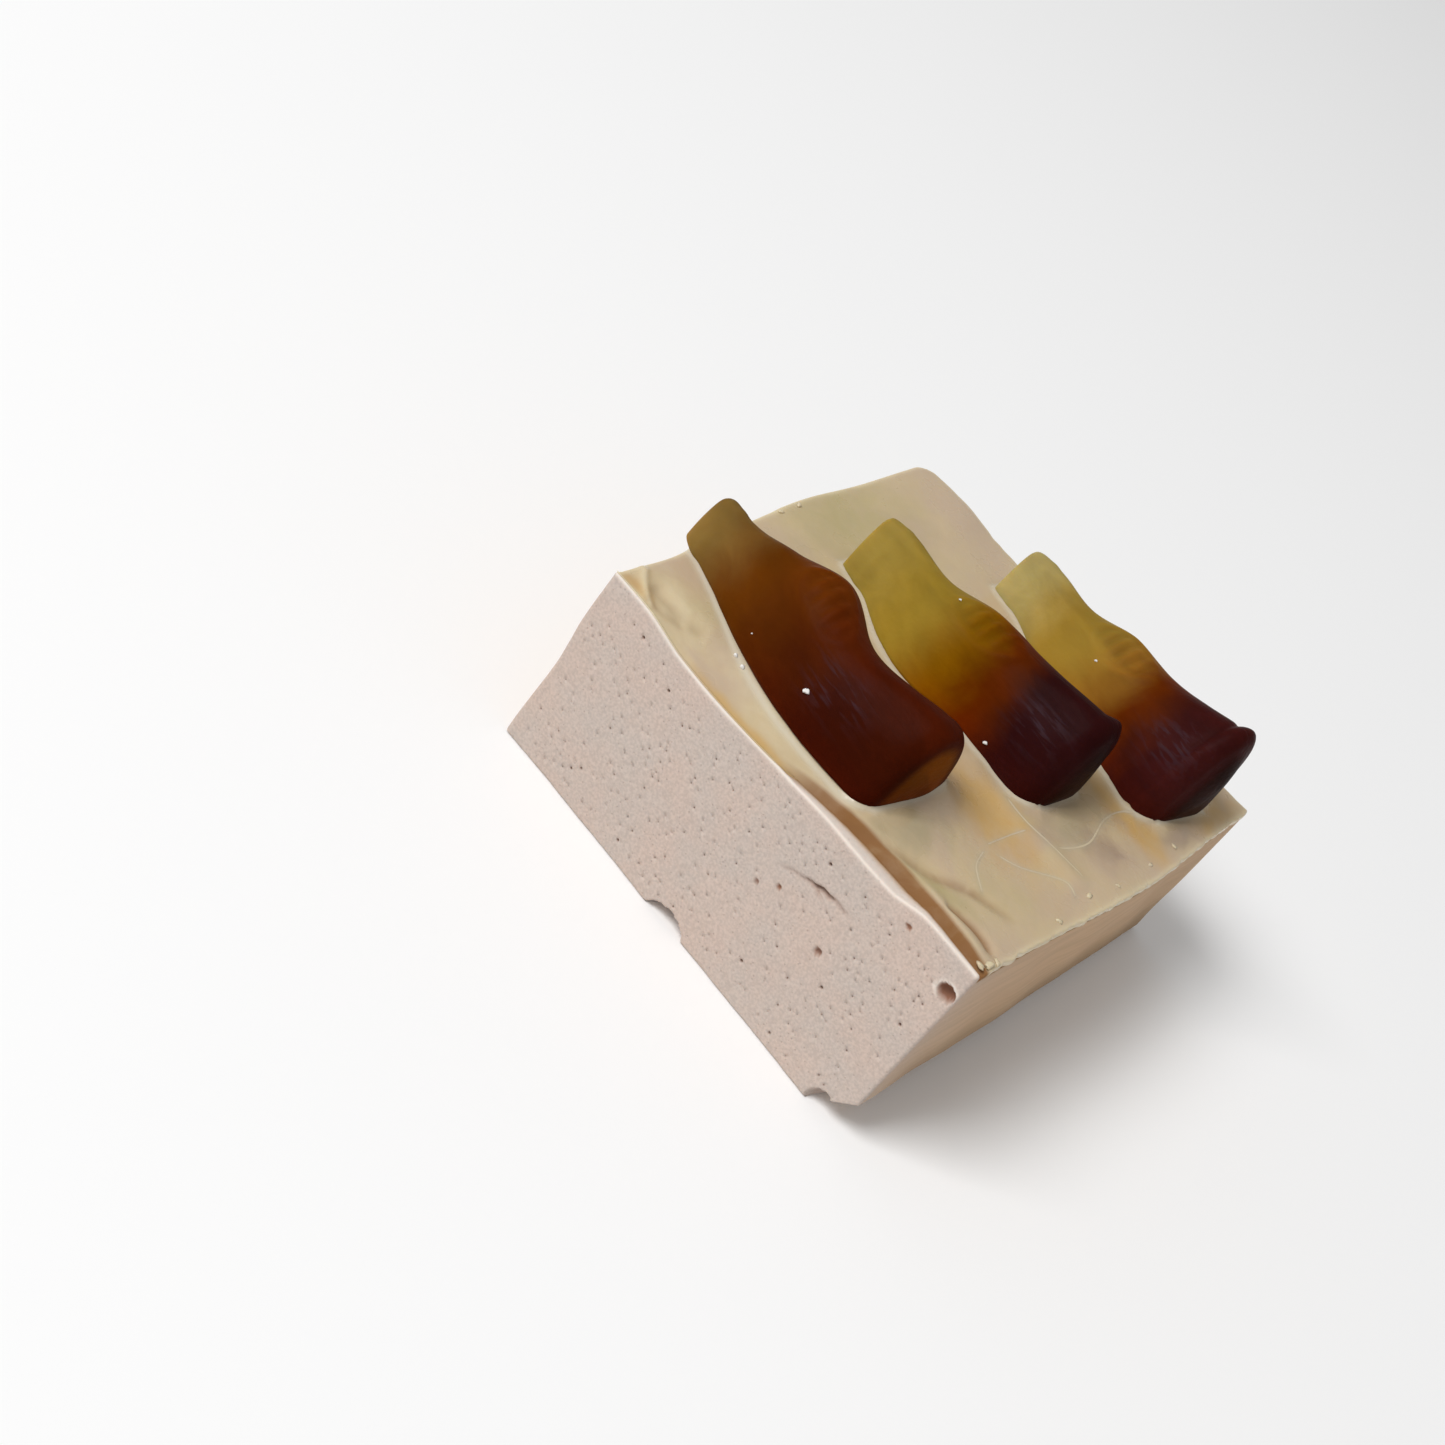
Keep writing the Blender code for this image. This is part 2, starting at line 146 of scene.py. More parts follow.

# Folds of the icing: line, half width, rise, and how brown (partly painted shade) and how pale they leave
# it.
FOLDS = (
    {"line": ((38.0, 2.9), (44.0, 4.0), (50.0, 4.4), (56.0, 4.0), (63.0, 3.2)), "width": 1.5, "rise": 0.5,
     "brown": 0.0, "pale": 0.2},
    {"line": ((39.0, 2.2), (42.0, 3.2), (46.2, 5.0), (49.0, 6.1), (52.1, 7.9), (54.8, 10.4), (58.0, 12.2),
              (61.5, 12.9)), "width": 0.9, "rise": -0.38, "brown": 0.42, "pale": 0.0},
    {"line": ((54.5, 4.9), (57.0, 5.8), (59.5, 6.2), (62.0, 5.6), (63.6, 4.3)), "width": 0.75, "rise": -0.5,
     "brown": 0.75, "pale": 0.0},
    {"line": ((3.9, 4.6), (7.2, 4.9), (9.9, 5.5), (13.0, 6.6)), "width": 1.3, "rise": -0.45, "brown": 0.35,
     "pale": 0.0},
    {"line": ((5.2, 1.6), (8.0, 3.2), (11.0, 5.2)), "width": 1.1, "rise": -0.3, "brown": 0.25, "pale": 0.0},
    {"line": ((0.9, 6.2), (2.8, 4.0), (4.6, 2.6), (7.2, 1.4)), "width": 0.7, "rise": 0.35, "brown": 0.0,
     "pale": 0.7},
    {"line": ((40.0, 28.7), (62.0, 28.1)), "width": 2.4, "rise": 0.35, "brown": 0.0, "pale": 0.0},
    {"line": ((49.0, 33.0), (56.0, 48.0)), "width": 2.6, "rise": -0.35, "brown": 0.0, "pale": 0.0},
)
BED_FOLD_SHARE = 0.4
WRINKLE_SINK = 0.88
WRINKLE_STEP = 0.35
WRINKLES = (
    {"name": "ring left", "line": ((51.6, 18.4), (52.8, 14.6), (56.2, 11.9)), "radius": 0.42},
    {"name": "ring top", "line": ((51.1, 19.1), (51.5, 24.3), (52.1, 27.8)), "radius": 0.34},
    {"name": "ring right", "line": ((51.9, 19.2), (55.5, 21.2), (59.6, 26.0), (62.2, 25.6), (63.6, 25.0)),
     "radius": 0.42},
    {"name": "ridge", "line": ((46.0, 29.2), (51.5, 28.5), (56.7, 29.2), (60.8, 29.5), (62.4, 28.9)),
     "radius": 0.5},
    {"name": "far curl", "line": ((54.7, 27.1), (56.4, 31.5), (57.2, 36.0), (55.8, 41.8), (55.7, 46.0),
                                  (57.0, 48.0), (60.0, 47.6)), "radius": 0.42},
)

# On the icing, crumbs and grains of sugar (DOTS) as x, y and size. On each gummy's jelly, grains of
# sugar (SPECKS) as share of its length, angle and size. The shapes are half sizes for a size of 1.
CRUMBS = (
    (62.7, 2.3, 0.5), (63.2, 3.6, 0.65), (63.3, 5.2, 0.45), (63.3, 19.8, 0.5), (62.7, 28.0, 0.55),
    (63.5, 34.0, 0.35), (63.5, 43.4, 0.4), (63.1, 50.3, 0.45), (-0.3, 35.4, 0.35), (-0.3, 39.3, 0.45),
)
DOTS = ((16.5, 7.4, 0.3), (18.2, 6.9, 0.34))
CRUMB_SHAPE = (1.2, 0.65, 0.4)
SPECK_SHAPE = (1.0, 0.8, 0.75)
SPECKS = {
    "front": ((0.66, 2.86, 0.46), (0.42, 3.04, 0.15)),
    "middle": ((0.76, 3.1, 0.33), (0.38, 1.84, 0.2)),
    "back": ((0.47, 2.56, 0.25),),
}

# Stains, painted light and painted shade on the icing: kind, middle, half sizes, turn in degrees and
# strength.
# The caramel patches just behind the gummies' feet, on the side away from the lamp, are painted amber light
# that has passed through the jelly; the caramel along the front edge is the icing's own. The pools are
# partly painted shade.
ICING_STAINS_LIGHT_AND_SHADE = (
    ("caramel", (3.0, 1.8), (3.4, 1.3), 10.0, 1.0),
    ("caramel", (26.0, 1.4), (12.0, 0.8), 0.0, 0.95),
    ("caramel", (41.0, 1.9), (5.0, 0.9), 20.0, 0.7),
    ("caramel", (48.0, 24.2), (9.5, 4.6), -8.0, 0.9),
    ("caramel", (57.5, 46.5), (7.5, 2.4), 0.0, 1.0),
    ("caramel", (62.5, 62.0), (2.5, 6.0), 0.0, 1.0),
    ("pool", (45.0, 9.5), (3.6, 6.0), -12.0, 0.9),
    ("pool", (54.0, 35.5), (3.2, 5.2), 0.0, 0.9),
    ("pool", (62.2, 52.5), (2.2, 3.6), 0.0, 0.7),
    ("plum", (58.5, 37.0), (3.0, 3.2), 0.0, 0.7),
    ("plum", (62.6, 52.8), (1.8, 4.0), 0.0, 0.8),
    ("plum", (2.2, 1.6), (3.0, 1.4), 10.0, 0.25),
    ("blush", (9.0, 68.0), (13.0, 5.0), -8.0, 0.9),
    ("blush", (22.0, 60.0), (7.0, 9.0), 0.0, 0.5),
    ("blush", (62.5, 8.5), (2.5, 5.0), 0.0, 0.8),
    ("blush", (62.0, 25.0), (2.5, 6.0), 0.0, 0.8),
    ("blush", (61.5, 38.0), (2.5, 6.0), 0.0, 0.8),
    ("khaki", (52.5, 6.2), (6.0, 1.8), 16.0, 0.8),
    ("khaki", (4.0, 46.0), (14.0, 13.0), 0.0, 0.8),
    ("pale", (8.5, 5.6), (5.5, 3.6), -20.0, 0.5),
    ("pale", (11.0, 1.5), (5.0, 1.8), -5.0, 0.45),
    ("crease", (34.5, 1.3), (5.0, 0.55), 4.0, 0.7),
    ("pale", (25.0, 5.0), (14.0, 2.6), -5.0, 0.35),
    ("khaki", (10.5, 8.5), (4.0, 3.0), 20.0, 0.5),
    ("khaki", (58.0, 15.0), (4.5, 5.5), 0.0, 0.35),
)

# The gummies lie on their flat backs with the neck to the left. Stations run from tip (0) to foot (1).
STATIONS = (0.0, 0.13, 0.29, 0.46, 0.66, 0.92, 1.0)
# Two keys of each gummy steer painted colour: how its painted light and shade run round the jelly, and the
# share of the length where its painted highlight lies.
GUMMIES = (
    {"name": "front", "tip": (-0.6, 18.6), "foot": (41.8, 11.8), "bend": -1.3,
     "widths": (6.1, 6.5, 9.6, 14.8, 13.3, 15.6, 15.0), "heights": (7.5, 7.9, 10.3, 12.6, 10.8, 12.0, 11.8),
     "sway": (-0.5, -0.5, -0.4, 0.5, -1.0, 0.5, 0.5), "rim": 0.0, "lip": 0.0, "lit": 1.0, "skew": 0.0,
     "bloom": 0.72, "tip_close": 0.66, "foot_round": 2.4, "foot_close": 0.74,
     "foot_swell": 0.35},
    {"name": "middle", "tip": (10.2, 40.3), "foot": (50.6, 37.1), "bend": -1.0,
     "widths": (6.6, 7.0, 10.9, 15.7, 13.3, 14.2, 14.0), "heights": (9.1, 9.6, 9.8, 11.3, 11.5, 12.9, 13.3),
     "sway": (-0.3, -0.3, -1.5, -0.5, 0.4, 0.1, 0.1), "rim": 0.1, "lip": 0.8, "lit": 0.0, "skew": 0.055,
     "bloom": 0.83, "tip_close": 0.86, "foot_round": 3.4, "foot_close": 0.6,
     "foot_swell": 0.8},
    {"name": "back", "tip": (21.1, 63.4), "foot": (60.4, 56.5), "bend": 0.0,
     "widths": (5.7, 6.1, 8.7, 13.6, 15.2, 16.6, 15.8), "heights": (8.1, 8.5, 8.8, 10.6, 11.4, 14.8, 16.6),
     "sway": (0.5, 0.5, -0.5, 0.3, -0.5, -1.0, -0.8), "rim": 0.5, "lip": 0.3, "lit": 0.0, "skew": 0.05,
     "bloom": 0.86, "tip_close": 0.82, "foot_round": 3.4, "foot_close": 0.62,
     "foot_swell": 1.2},
)
GUMMY_SINK = 0.7
GUMMY_LEAN = -0.08
TIP_LIFT = 0.15
TIP_ROUND = 2.0
HEIGHT_CLOSE = 0.5
SECTION_POWER = 2.6
SECTION_DRAFT = 0.28
SECTION_BELLY = 0.8
GUMMY_SIDES = 88
GUMMY_CUTS = (10, 12)
END_CROWDING = 0.55
CAP_RINGS = 6
TIP_SWELL = 0.35
UNDERSIDE = 0.5
RIDGE_RISE = 0.24
COLLAR_RISE = 0.12
BADGE_SIZE = (5.2, 3.4)
BADGE_SHIFT = 2.6
BADGE_RISE = 0.24
BADGE_SINK = 0.08
BADGE_BARS = 0.2
JELLY_LUMPS = 0.12

# Colours along the jelly: which, and from where to where they come in, counted from the turn.
JELLY_STEPS = (("waist", -0.24, -0.03), ("ember", -0.06, 0.08), ("foot", 0.05, 0.24))

# The camera of the view from the front left, rolled as a hand holds it.
CAMERA_AT = (0.05994, -0.23548, 0.18124)
CAMERA_RIGHT = (0.6397, 0.59754, 0.48346)
CAMERA_DOWN = (0.72172, -0.25058, -0.64524)
CAMERA_FORWARD = (-0.26441, 0.76168, -0.59155)
CAMERA_LENS = 57.3


# Shapes as functions of place

def mix(a, b, t):
    return a + (b - a) * t


def smooth(t):
    t = np.clip(t, 0.0, 1.0)
    return t * t * (3.0 - 2.0 * t)


def bell(x, middle, width):
    return np.exp(-((x - middle) / width) ** 2)


def along(points, values, at):
    """A smooth value between named points: it eases from one to the next."""
    points = np.asarray(points, float)
    values = np.asarray(values, float)
    last = len(points) - 1
    at = np.clip(at, points[0], points[-1])
    k = np.clip(np.searchsorted(points, at, side="right"), 1, last)
    t = (at - points[k - 1]) / (points[k] - points[k - 1])
    low = values[k - 1]
    high = values[k]
    pull_low = np.where(k > 1, (high - values[np.maximum(k - 2, 0)]) * 0.5, 0.0)
    pull_high = np.where(k < last, (values[np.minimum(k + 1, last)] - low) * 0.5, 0.0)
    square = t * t
    cube = square * t
    return (low * (2 * cube - 3 * square + 1) + pull_low * (cube - 2 * square + t)
            + high * (3 * square - 2 * cube) + pull_high * (cube - square))


def wave(x, y, seed):
    """Soft unevenness between -1 and 1, with crests about a finger's width apart."""
    return (np.sin(x * 0.21 + seed) * np.cos(y * 0.17 + 1.7 * seed)
            + 0.6 * np.sin(x * 0.43 + y * 0.31 + 2.3 * seed)) / 1.6


def grain(points, size, seed):
    """Natural unevenness between -1 and 1, about `size` millimetres from crest to crest."""
    shift = Vector((seed * 17.3, seed * 5.1, seed * 9.7))
    return np.array([noise.noise(Vector(point) / size + shift) for point in points])


def ease_line(line, step):
    """Even points along a smooth curve through the given ones."""
    line = np.array(line, float)
    lengths = np.concatenate(([0.0], np.cumsum(np.hypot(*np.diff(line, axis=0).T))))
    at = np.arange(0.0, lengths[-1], step)
    return np.stack((along(lengths, line[:, 0], at), along(lengths, line[:, 1], at)), axis=1)


def away_from_line(x, y, start, end):
    """Distance from a straight stretch, and how far along it as a share."""
    run_x = end[0] - start[0]
    run_y = end[1] - start[1]
    t = ((x - start[0]) * run_x + (y - start[1]) * run_y) / (run_x ** 2 + run_y ** 2)
    t = np.clip(t, 0.0, 1.0)
    return np.hypot(x - start[0] - run_x * t, y - start[1] - run_y * t), t


def fold_share(fold, x, y, width):
    """1 on the fold's line, falling to 0 beside it and at both ends."""
    line = ease_line(fold["line"], 1.0)
    nearest = np.full_like(x, np.inf)
    at = np.zeros_like(x)
    for k, (start, end) in enumerate(zip(line, line[1:])):
        away, t = away_from_line(x, y, start, end)
        at = np.where(away < nearest, (k + t) / (len(line) - 1), at)
        nearest = np.minimum(nearest, away)
    return bell(nearest, 0.0, width) * smooth(5.0 * at) * smooth(5.0 * (1.0 - at))


def fold_height(x, y):
    return sum(fold["rise"] * fold_share(fold, x, y, fold["width"]) for fold in FOLDS)


def fold_stain_and_shade(kind, x, y):
    """How brown or how pale the folds leave the icing; the brown is partly painted shade in the folds."""
    marks = [fold[kind] * fold_share(fold, x, y, 0.8 * fold["width"]) for fold in FOLDS if fold[kind] > 0.0]
    return np.max(marks, axis=0)


def top_height(x, y):
    """Height of the slab's finished top at (x, y), without the icing's folds."""
    u = (x - FRONT_LEFT_TOP[0]) / SLAB_WIDTH
    v = (y - FRONT_LEFT_TOP[1]) / SLAB_DEPTH
    front = mix(FRONT_LEFT_TOP[2], FRONT_RIGHT_TOP[2], u)
    back = mix(BACK_LEFT_TOP[2], BACK_RIGHT_TOP[2], u)
    level = mix(front, back, v) + SWELL * wave(x, y, 0.6) * smooth(v * 5.0)
    edge = along([p[0] for p in FRONT_EDGE], [p[1] for p in FRONT_EDGE], x)
    near = np.exp(-(np.maximum(y, 0.0) / SAG_REACH) ** 2)
    return mix(level, edge, near)


def round_corner(u, v):
    """Draws the squares round the far left corner onto quarter circles."""
    a = np.maximum(CORNER_ROUND - u * SLAB_WIDTH, 0.0)
    b = np.maximum(CORNER_ROUND - (1.0 - v) * SLAB_DEPTH, 0.0)
    core = CORNER_ROUND - SLAB_ROUND
    level = np.where(np.minimum(a, b) > core, core + np.hypot(a - core, b - core), np.maximum(a, b))
    pull = np.where(a * b > 0.0, level / np.maximum(np.hypot(a, b), 1e-9), 1.0)
    u = np.where(a * b > 0.0, (CORNER_ROUND - a * pull) / SLAB_WIDTH, u)
    v = np.where(a * b > 0.0, 1.0 - (CORNER_ROUND - b * pull) / SLAB_DEPTH, v)
    return u, v


def between_corners(corners, axis, u, v):
    """A coordinate between the front and back corners, left and right, at the shares u and v."""
    front_left, front_right, back_left, back_right = (corner[axis] for corner in corners)
    return mix(mix(front_left, front_right, u), mix(back_left, back_right, u), v)


def slab_plan(u, v, w):
    """The slab's plan at height share w: its base corners and top corners, mixed."""
    u, v = round_corner(u, v)
    base_x, base_y = (between_corners(BASE_CORNERS, axis, u, v) for axis in (0, 1))
    top_x, top_y = (between_corners(TOP_CORNERS, axis, u, v) for axis in (0, 1))
    at, reach, out = BACK_BOW
    top_y = top_y + out * v * v * np.exp(-(np.abs(u - at) / reach) ** 6)
    for at, reach, out in LEFT_BOWS:
        top_x = top_x + out * (1.0 - u) * bell(v, at, reach)
    at, reach, out = RIGHT_BOW
    top_x = top_x + out * u * bell(v, at, reach)
    return mix(base_x, top_x, w), mix(base_y, top_y, w)


def rim_width(x):
    """Width of the bare lip along the front edge."""
    return along([p[0] for p in RIM_WIDTHS], [p[1] for p in RIM_WIDTHS], x)


def bed_depth(x, depth):
    """How far the marshmallow's top lies under the icing, `depth` behind the front edge."""
    bed = BED_DEPTH * smooth((depth - rim_width(x)) / BED_WALL)
    flow = FLOW_DEPTH * flow_share(x) * smooth((depth - 0.3) / 0.5)
    return np.maximum(bed, flow)


def flow_share(x):
    """1 where the icing flows over the front lip at the left, 0 where the lip stands free."""
    return 1.0 - smooth((x - FLOW_FROM) / (FLOW_TO - FLOW_FROM))


def gummy_axes(gummy):
    tip = np.array(gummy["tip"])
    run = np.array(gummy["foot"]) - tip
    length = float(np.hypot(*run))
    way = run / length
    return tip, way, np.array((-way[1], way[0])), length


def gummy_seat(gummy):
    tip, way, _, length = gummy_axes(gummy)
    middle = tip + way * length * 0.5
    return float(top_height(middle[0], middle[1])) - GUMMY_SINK


def round_end(distance, reach, smallest):
    """How far an end has closed in, on a quarter circle over its last stretch."""
    inside = np.clip(1.0 - distance / reach, 0.0, 1.0)
    return mix(smallest, 1.0, np.sqrt(1.0 - inside ** 2))


def end_closing(gummy, from_tip, length):
    tip = round_end(from_tip, TIP_ROUND, gummy["tip_close"])
    return tip * round_end(length - from_tip, gummy["foot_round"], gummy["foot_close"])


def outside_gummy(gummy, x, y):
    """Distance outside the gummy's outline on the icing; it is negative under the gummy."""
    tip, way, side, length = gummy_axes(gummy)
    run = (x - tip[0]) * way[0] + (y - tip[1]) * way[1]
    across = (x - tip[0]) * side[0] + (y - tip[1]) * side[1]
    share = np.clip(run / length, 0.0, 1.0)
    half = along(STATIONS, gummy["widths"], share) * 0.5 * end_closing(gummy, share * length, length)
    shift = along(STATIONS, gummy["sway"], share) + 4.0 * gummy["bend"] * share * (1.0 - share)
    over_side = np.abs(across - shift) - half
    over_end = np.maximum(-run, run - length)
    outside = np.hypot(np.maximum(over_side, 0.0), np.maximum(over_end, 0.0))
    inside = np.minimum(np.maximum(over_side, over_end), 0.0)
    return outside + inside, share


def icing_height(x, y):
    """The icing's upper side: folds, soft swells, and a rim of glaze drawn up round each gummy."""
    height = top_height(x, y) + fold_height(x, y)
    for rise, at_x, at_y, reach_x, reach_y in ICING_SWELLS:
        height = height + rise * bell(x, at_x, reach_x) * bell(y, at_y, reach_y)
    height = height + 0.25 * (smooth((y - 34.0) / 2.5) * (1.0 - smooth((x - 9.0) / 5.0)) - 0.5)
    for gummy in GUMMIES:
        outside, share = outside_gummy(gummy, x, y)
        climb = 0.5 + 0.5 * smooth((share - 0.9) / 0.1)
        height = height + climb * np.exp(-np.maximum(outside + 0.35, 0.0) / 0.8)
        height = height - (1.5 + climb) * smooth(-(outside + 0.9) / 1.0)
    return height


# Mesh helpers

def place(points):
    """Millimetres in the slab's corner frame to metres about the middle of its base."""
    return (np.asarray(points, float) - np.array((MIDDLE_X, MIDDLE_Y, 0.0))) * MM


def start_clean():
    if bpy.context.mode != "OBJECT":
        bpy.ops.object.mode_set(mode="OBJECT")
    bpy.ops.object.select_all(action="DESELECT")


def choose(piece, others=()):
    """Selects the pieces given and nothing else, with the first one active."""
    start_clean()
    for chosen in (piece, *others):
        chosen.select_set(True)
    bpy.context.view_layer.objects.active = piece


def cut_edges(piece, along_axis, parts):
    """Cuts each edge that runs along the axis into equal parts, with the strips between them."""
    mesh = piece.data
    ends = np.empty(len(mesh.edges) * 2, np.int32)
    mesh.edges.foreach_get("vertices", ends)
    spots = read_points(piece)
    spans = spots[ends[1::2]] - spots[ends[0::2]]
    chosen = np.abs(spans[:, along_axis]) > 1e-5
    bpy.context.tool_settings.mesh_select_mode = (False, True, False)
    bpy.ops.object.mode_set(mode="EDIT")
    bpy.ops.mesh.select_all(action="DESELECT")
    bpy.ops.object.mode_set(mode="OBJECT")
    mesh.edges.foreach_set("select", chosen)
    bpy.ops.object.mode_set(mode="EDIT")
    bpy.ops.mesh.subdivide(number_cuts=parts - 1)
    bpy.ops.object.mode_set(mode="OBJECT")


def grid_block(name, cuts):
    """A block cut into strips along x, y and z; also the strip number of each point on each axis."""
    start_clean()
    bpy.ops.mesh.primitive_cube_add(size=1.0)
    block = bpy.context.active_object
    block.name = name
    block.data.name = name
    counts = []
    for axis, rounds in enumerate(cuts):
        for parts in rounds:
            cut_edges(block, axis, parts)
        counts.append(math.prod(rounds))
    index = np.rint((read_points(block) + 0.5) * np.array(counts)).astype(int)
    return block, index, counts


def read_points(piece):
    flat = np.empty(len(piece.data.vertices) * 3, np.float32)
    piece.data.vertices.foreach_get("co", flat)
    return flat.reshape(-1, 3).astype(float)


def write_points(piece, points):
    piece.data.vertices.foreach_set("co", np.asarray(points, np.float32).ravel())
    piece.data.update()


def write_attribute(piece, name, values):
    layer = piece.data.attributes.get(name) or piece.data.attributes.new(name, "FLOAT", "POINT")
    layer.data.foreach_set("value", np.asarray(values, np.float32))


def spaced(total, strips, first, last):
    """Line places from 0 to total: given lines near the start and the end, even ones between."""
    middle = strips - len(first) - len(last)
    inner = [mix(first[-1], total - last[-1], k / middle) for k in range(1, middle)]
    return np.array([0.0] + list(first) + inner + [total - step for step in reversed(last)] + [total])


def rounded(points, size, radius):
    """Points on a block's skin, moved onto one with rounded edges and corners."""
    core = np.clip(points, radius, np.asarray(size) - radius)
    out = points - core
    length = np.maximum(np.linalg.norm(out, axis=1), 1e-9)
    return core + out * (radius / length)[:, None]


def turn_outwards(piece):
    choose(piece)
    bpy.ops.object.mode_set(mode="EDIT")
    bpy.ops.mesh.select_all(action="SELECT")
    bpy.ops.mesh.normals_make_consistent(inside=False)
    bpy.ops.mesh.select_all(action="DESELECT")
    bpy.ops.object.mode_set(mode="OBJECT")


def finish_piece(piece, material, replaced=()):
    turn_outwards(piece)
    piece.data.materials.clear()
    piece.data.materials.append(material)
    bpy.ops.object.shade_smooth()
    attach(piece, "root")
    for node_name in replaced:
        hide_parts(node_name)


# Node helpers

def new_material(name):
    material = bpy.data.materials.new(name)
    material.use_nodes = True
    tree = material.node_tree
    shader = tree.nodes["Principled BSDF"]
    return material, tree, shader


def node(tree, kind, inputs=None, **settings):
    """Adds a node, sets what is given, and links each input that is given as a socket."""
    new = tree.nodes.new(kind)
    for name, value in settings.items():
        setattr(new, name, value)
    for name, value in (inputs or {}).items():
        if isinstance(value, bpy.types.NodeSocket):
            tree.links.new(value, new.inputs[name])
        else:
            new.inputs[name].default_value = value
    return new


def opaque(colour):
    return (colour[0], colour[1], colour[2], 1.0)


def blend(tree, share, first, second, mode="MIX"):
    """Mixes two colours, each a socket or a plain colour, by a share."""
    mixer = node(tree, "ShaderNodeMix", data_type="RGBA", blend_type=mode)
    for socket, value in ((0, share), (6, first), (7, second)):
        if isinstance(value, bpy.types.NodeSocket):
            tree.links.new(value, mixer.inputs[socket])
        elif socket == 0:
            mixer.inputs[socket].default_value = value
        else:
            mixer.inputs[socket].default_value = opaque(value)
    return mixer.outputs[2]


def maths(tree, operation, first, second=0.0, clamp=False):
    step = node(tree, "ShaderNodeMath", operation=operation, use_clamp=clamp)
    for socket, value in ((0, first), (1, second)):
        if isinstance(value, bpy.types.NodeSocket):
            tree.links.new(value, step.inputs[socket])
        else:
            step.inputs[socket].default_value = value
    return step.outputs[0]


def times(tree, first, second):
    return maths(tree, "MULTIPLY", first, second)


def dimmed(tree, colour, strength):
    """The colour times a strength that is given as a socket."""
    grey = node(tree, "ShaderNodeCombineColor", {"Red": strength, "Green": strength, "Blue": strength})
    return blend(tree, 1.0, colour, grey.outputs[0], "MULTIPLY")


def remap(tree, value, low, high, to_low=0.0, to_high=1.0):
    return node(tree, "ShaderNodeMapRange",
                {"Value": value, "From Min": low, "From Max": high, "To Min": to_low, "To Max": to_high},
                interpolation_type="SMOOTHSTEP").outputs["Result"]


def read_attribute(tree, name):
    return node(tree, "ShaderNodeAttribute", attribute_name=name).outputs["Fac"]


def clouds(tree, size, detail=3.0, stretch=(1.0, 1.0, 1.0), warp=0.0, turn=0.0):
    """Noise in object space, `size` millimetres from spot to spot, drawn out along turned axes."""
    where = node(tree, "ShaderNodeTexCoord").outputs["Object"]
    axes = {"Vector": where, "Rotation": (0.0, 0.0, turn), "Scale": stretch}
    moved = node(tree, "ShaderNodeMapping", axes, vector_type="TEXTURE").outputs["Vector"]
    spots = {"Vector": moved, "Scale": 1.0 / (size * MM), "Detail": detail, "Distortion": warp}
    return node(tree, "ShaderNodeTexNoise", spots).outputs["Fac"]


# Settings

def colour_property(name, description, default):
    return bpy.props.FloatVectorProperty(
        name=name, description=description, default=default, subtype="COLOR", min=0.0, max=1.0)


class SlabSettings(bpy.types.PropertyGroup):
    foam: colour_property("Foam", "Cut face of the marshmallow", (0.54, 0.455, 0.40))
    foam_warm: colour_property("Warm foam", "Pinker clouds in the cut face", (0.57, 0.455, 0.39))
    side: colour_property("Side", "Smooth sides of the marshmallow", (0.585, 0.39, 0.235))
    # Painted shade: the sides are painted darker towards the base, where little light reaches them.
    base: colour_property("Base", "Darker sides near the base", (0.27, 0.185, 0.10))
    # The lip colour also paints a highlight along the front top edge.
    lip: colour_property("Lip", "Raised rim along the front top edge", (0.80, 0.71, 0.63))
    # The groove colour is partly the brown of the cream and partly painted shade in the crevice behind the
    # rim.
    groove: colour_property("Groove", "Brown syrup in the groove behind the rim", (0.36, 0.2, 0.085))
    # The pore colour is partly a reddish-brown stain and partly painted shade inside the pores, bubbles and
    # tears.
    stain: colour_property("Pore stain", "Inside of the pores and bubbles", (0.27, 0.13, 0.08))
    roughness: bpy.props.FloatProperty(
        name="Roughness", description="How matte the foam is", default=0.85, subtype="FACTOR",
        min=0.0, max=1.0)


class IcingSettings(bpy.types.PropertyGroup):
    cream: colour_property("Cream", "Main colour of the icing", (0.585, 0.455, 0.275))
    # The caramel colour also paints the amber light that the gummies cast onto the icing behind their feet.
    caramel: colour_property("Caramel", "Golden tan patches", (0.585, 0.375, 0.145))
    # The pool colour is partly the glaze's own grey ivory and partly painted shade close round the gummies.
    pool: colour_property("Pool", "Grey ivory glaze round the gummies", (0.40, 0.325, 0.195))
    khaki: colour_property("Khaki", "Green tinge of the far icing", (0.47, 0.385, 0.19))
    blush: colour_property("Blush", "Pink tinge where the icing is thin", (0.54, 0.41, 0.285))
    plum: colour_property("Plum", "Purple tint that has bled from the gummies", (0.33, 0.235, 0.18))
    # The crease colour is partly the icing's brown and partly painted shade in the folds and the groove.
    crease: colour_property("Crease", "Brown of the folds", (0.25, 0.115, 0.036))
    pale: colour_property("Pale", "Pale wrinkles and cut edges", (0.74, 0.63, 0.42))
    roughness: bpy.props.FloatProperty(
        name="Roughness", description="How dull the icing is", default=0.32, subtype="FACTOR",
        min=0.0, max=1.0)


class GummySettings(bpy.types.PropertyGroup):
    neck: colour_property("Neck", "Colour at the tip", (0.35, 0.245, 0.05))
    shoulder: colour_property("Shoulder", "Colour at a third of the length", (0.325, 0.208, 0.024))
    waist: colour_property("Waist", "Colour where the jelly turns brown", (0.24, 0.10, 0.001))
    ember: colour_property("Ember", "Red brown just before the dark foot", (0.12, 0.019, 0.0))
    foot: colour_property("Foot", "Colour of the dark foot", (0.028, 0.0045, 0.0045))
    end: colour_property("End", "Flat end of the foot", (0.022, 0.007, 0.005))
    turn: bpy.props.FloatProperty(
        name="Turn", description="Share of the length where the jelly turns brown", default=0.55,
        subtype="FACTOR", min=0.0, max=1.0)


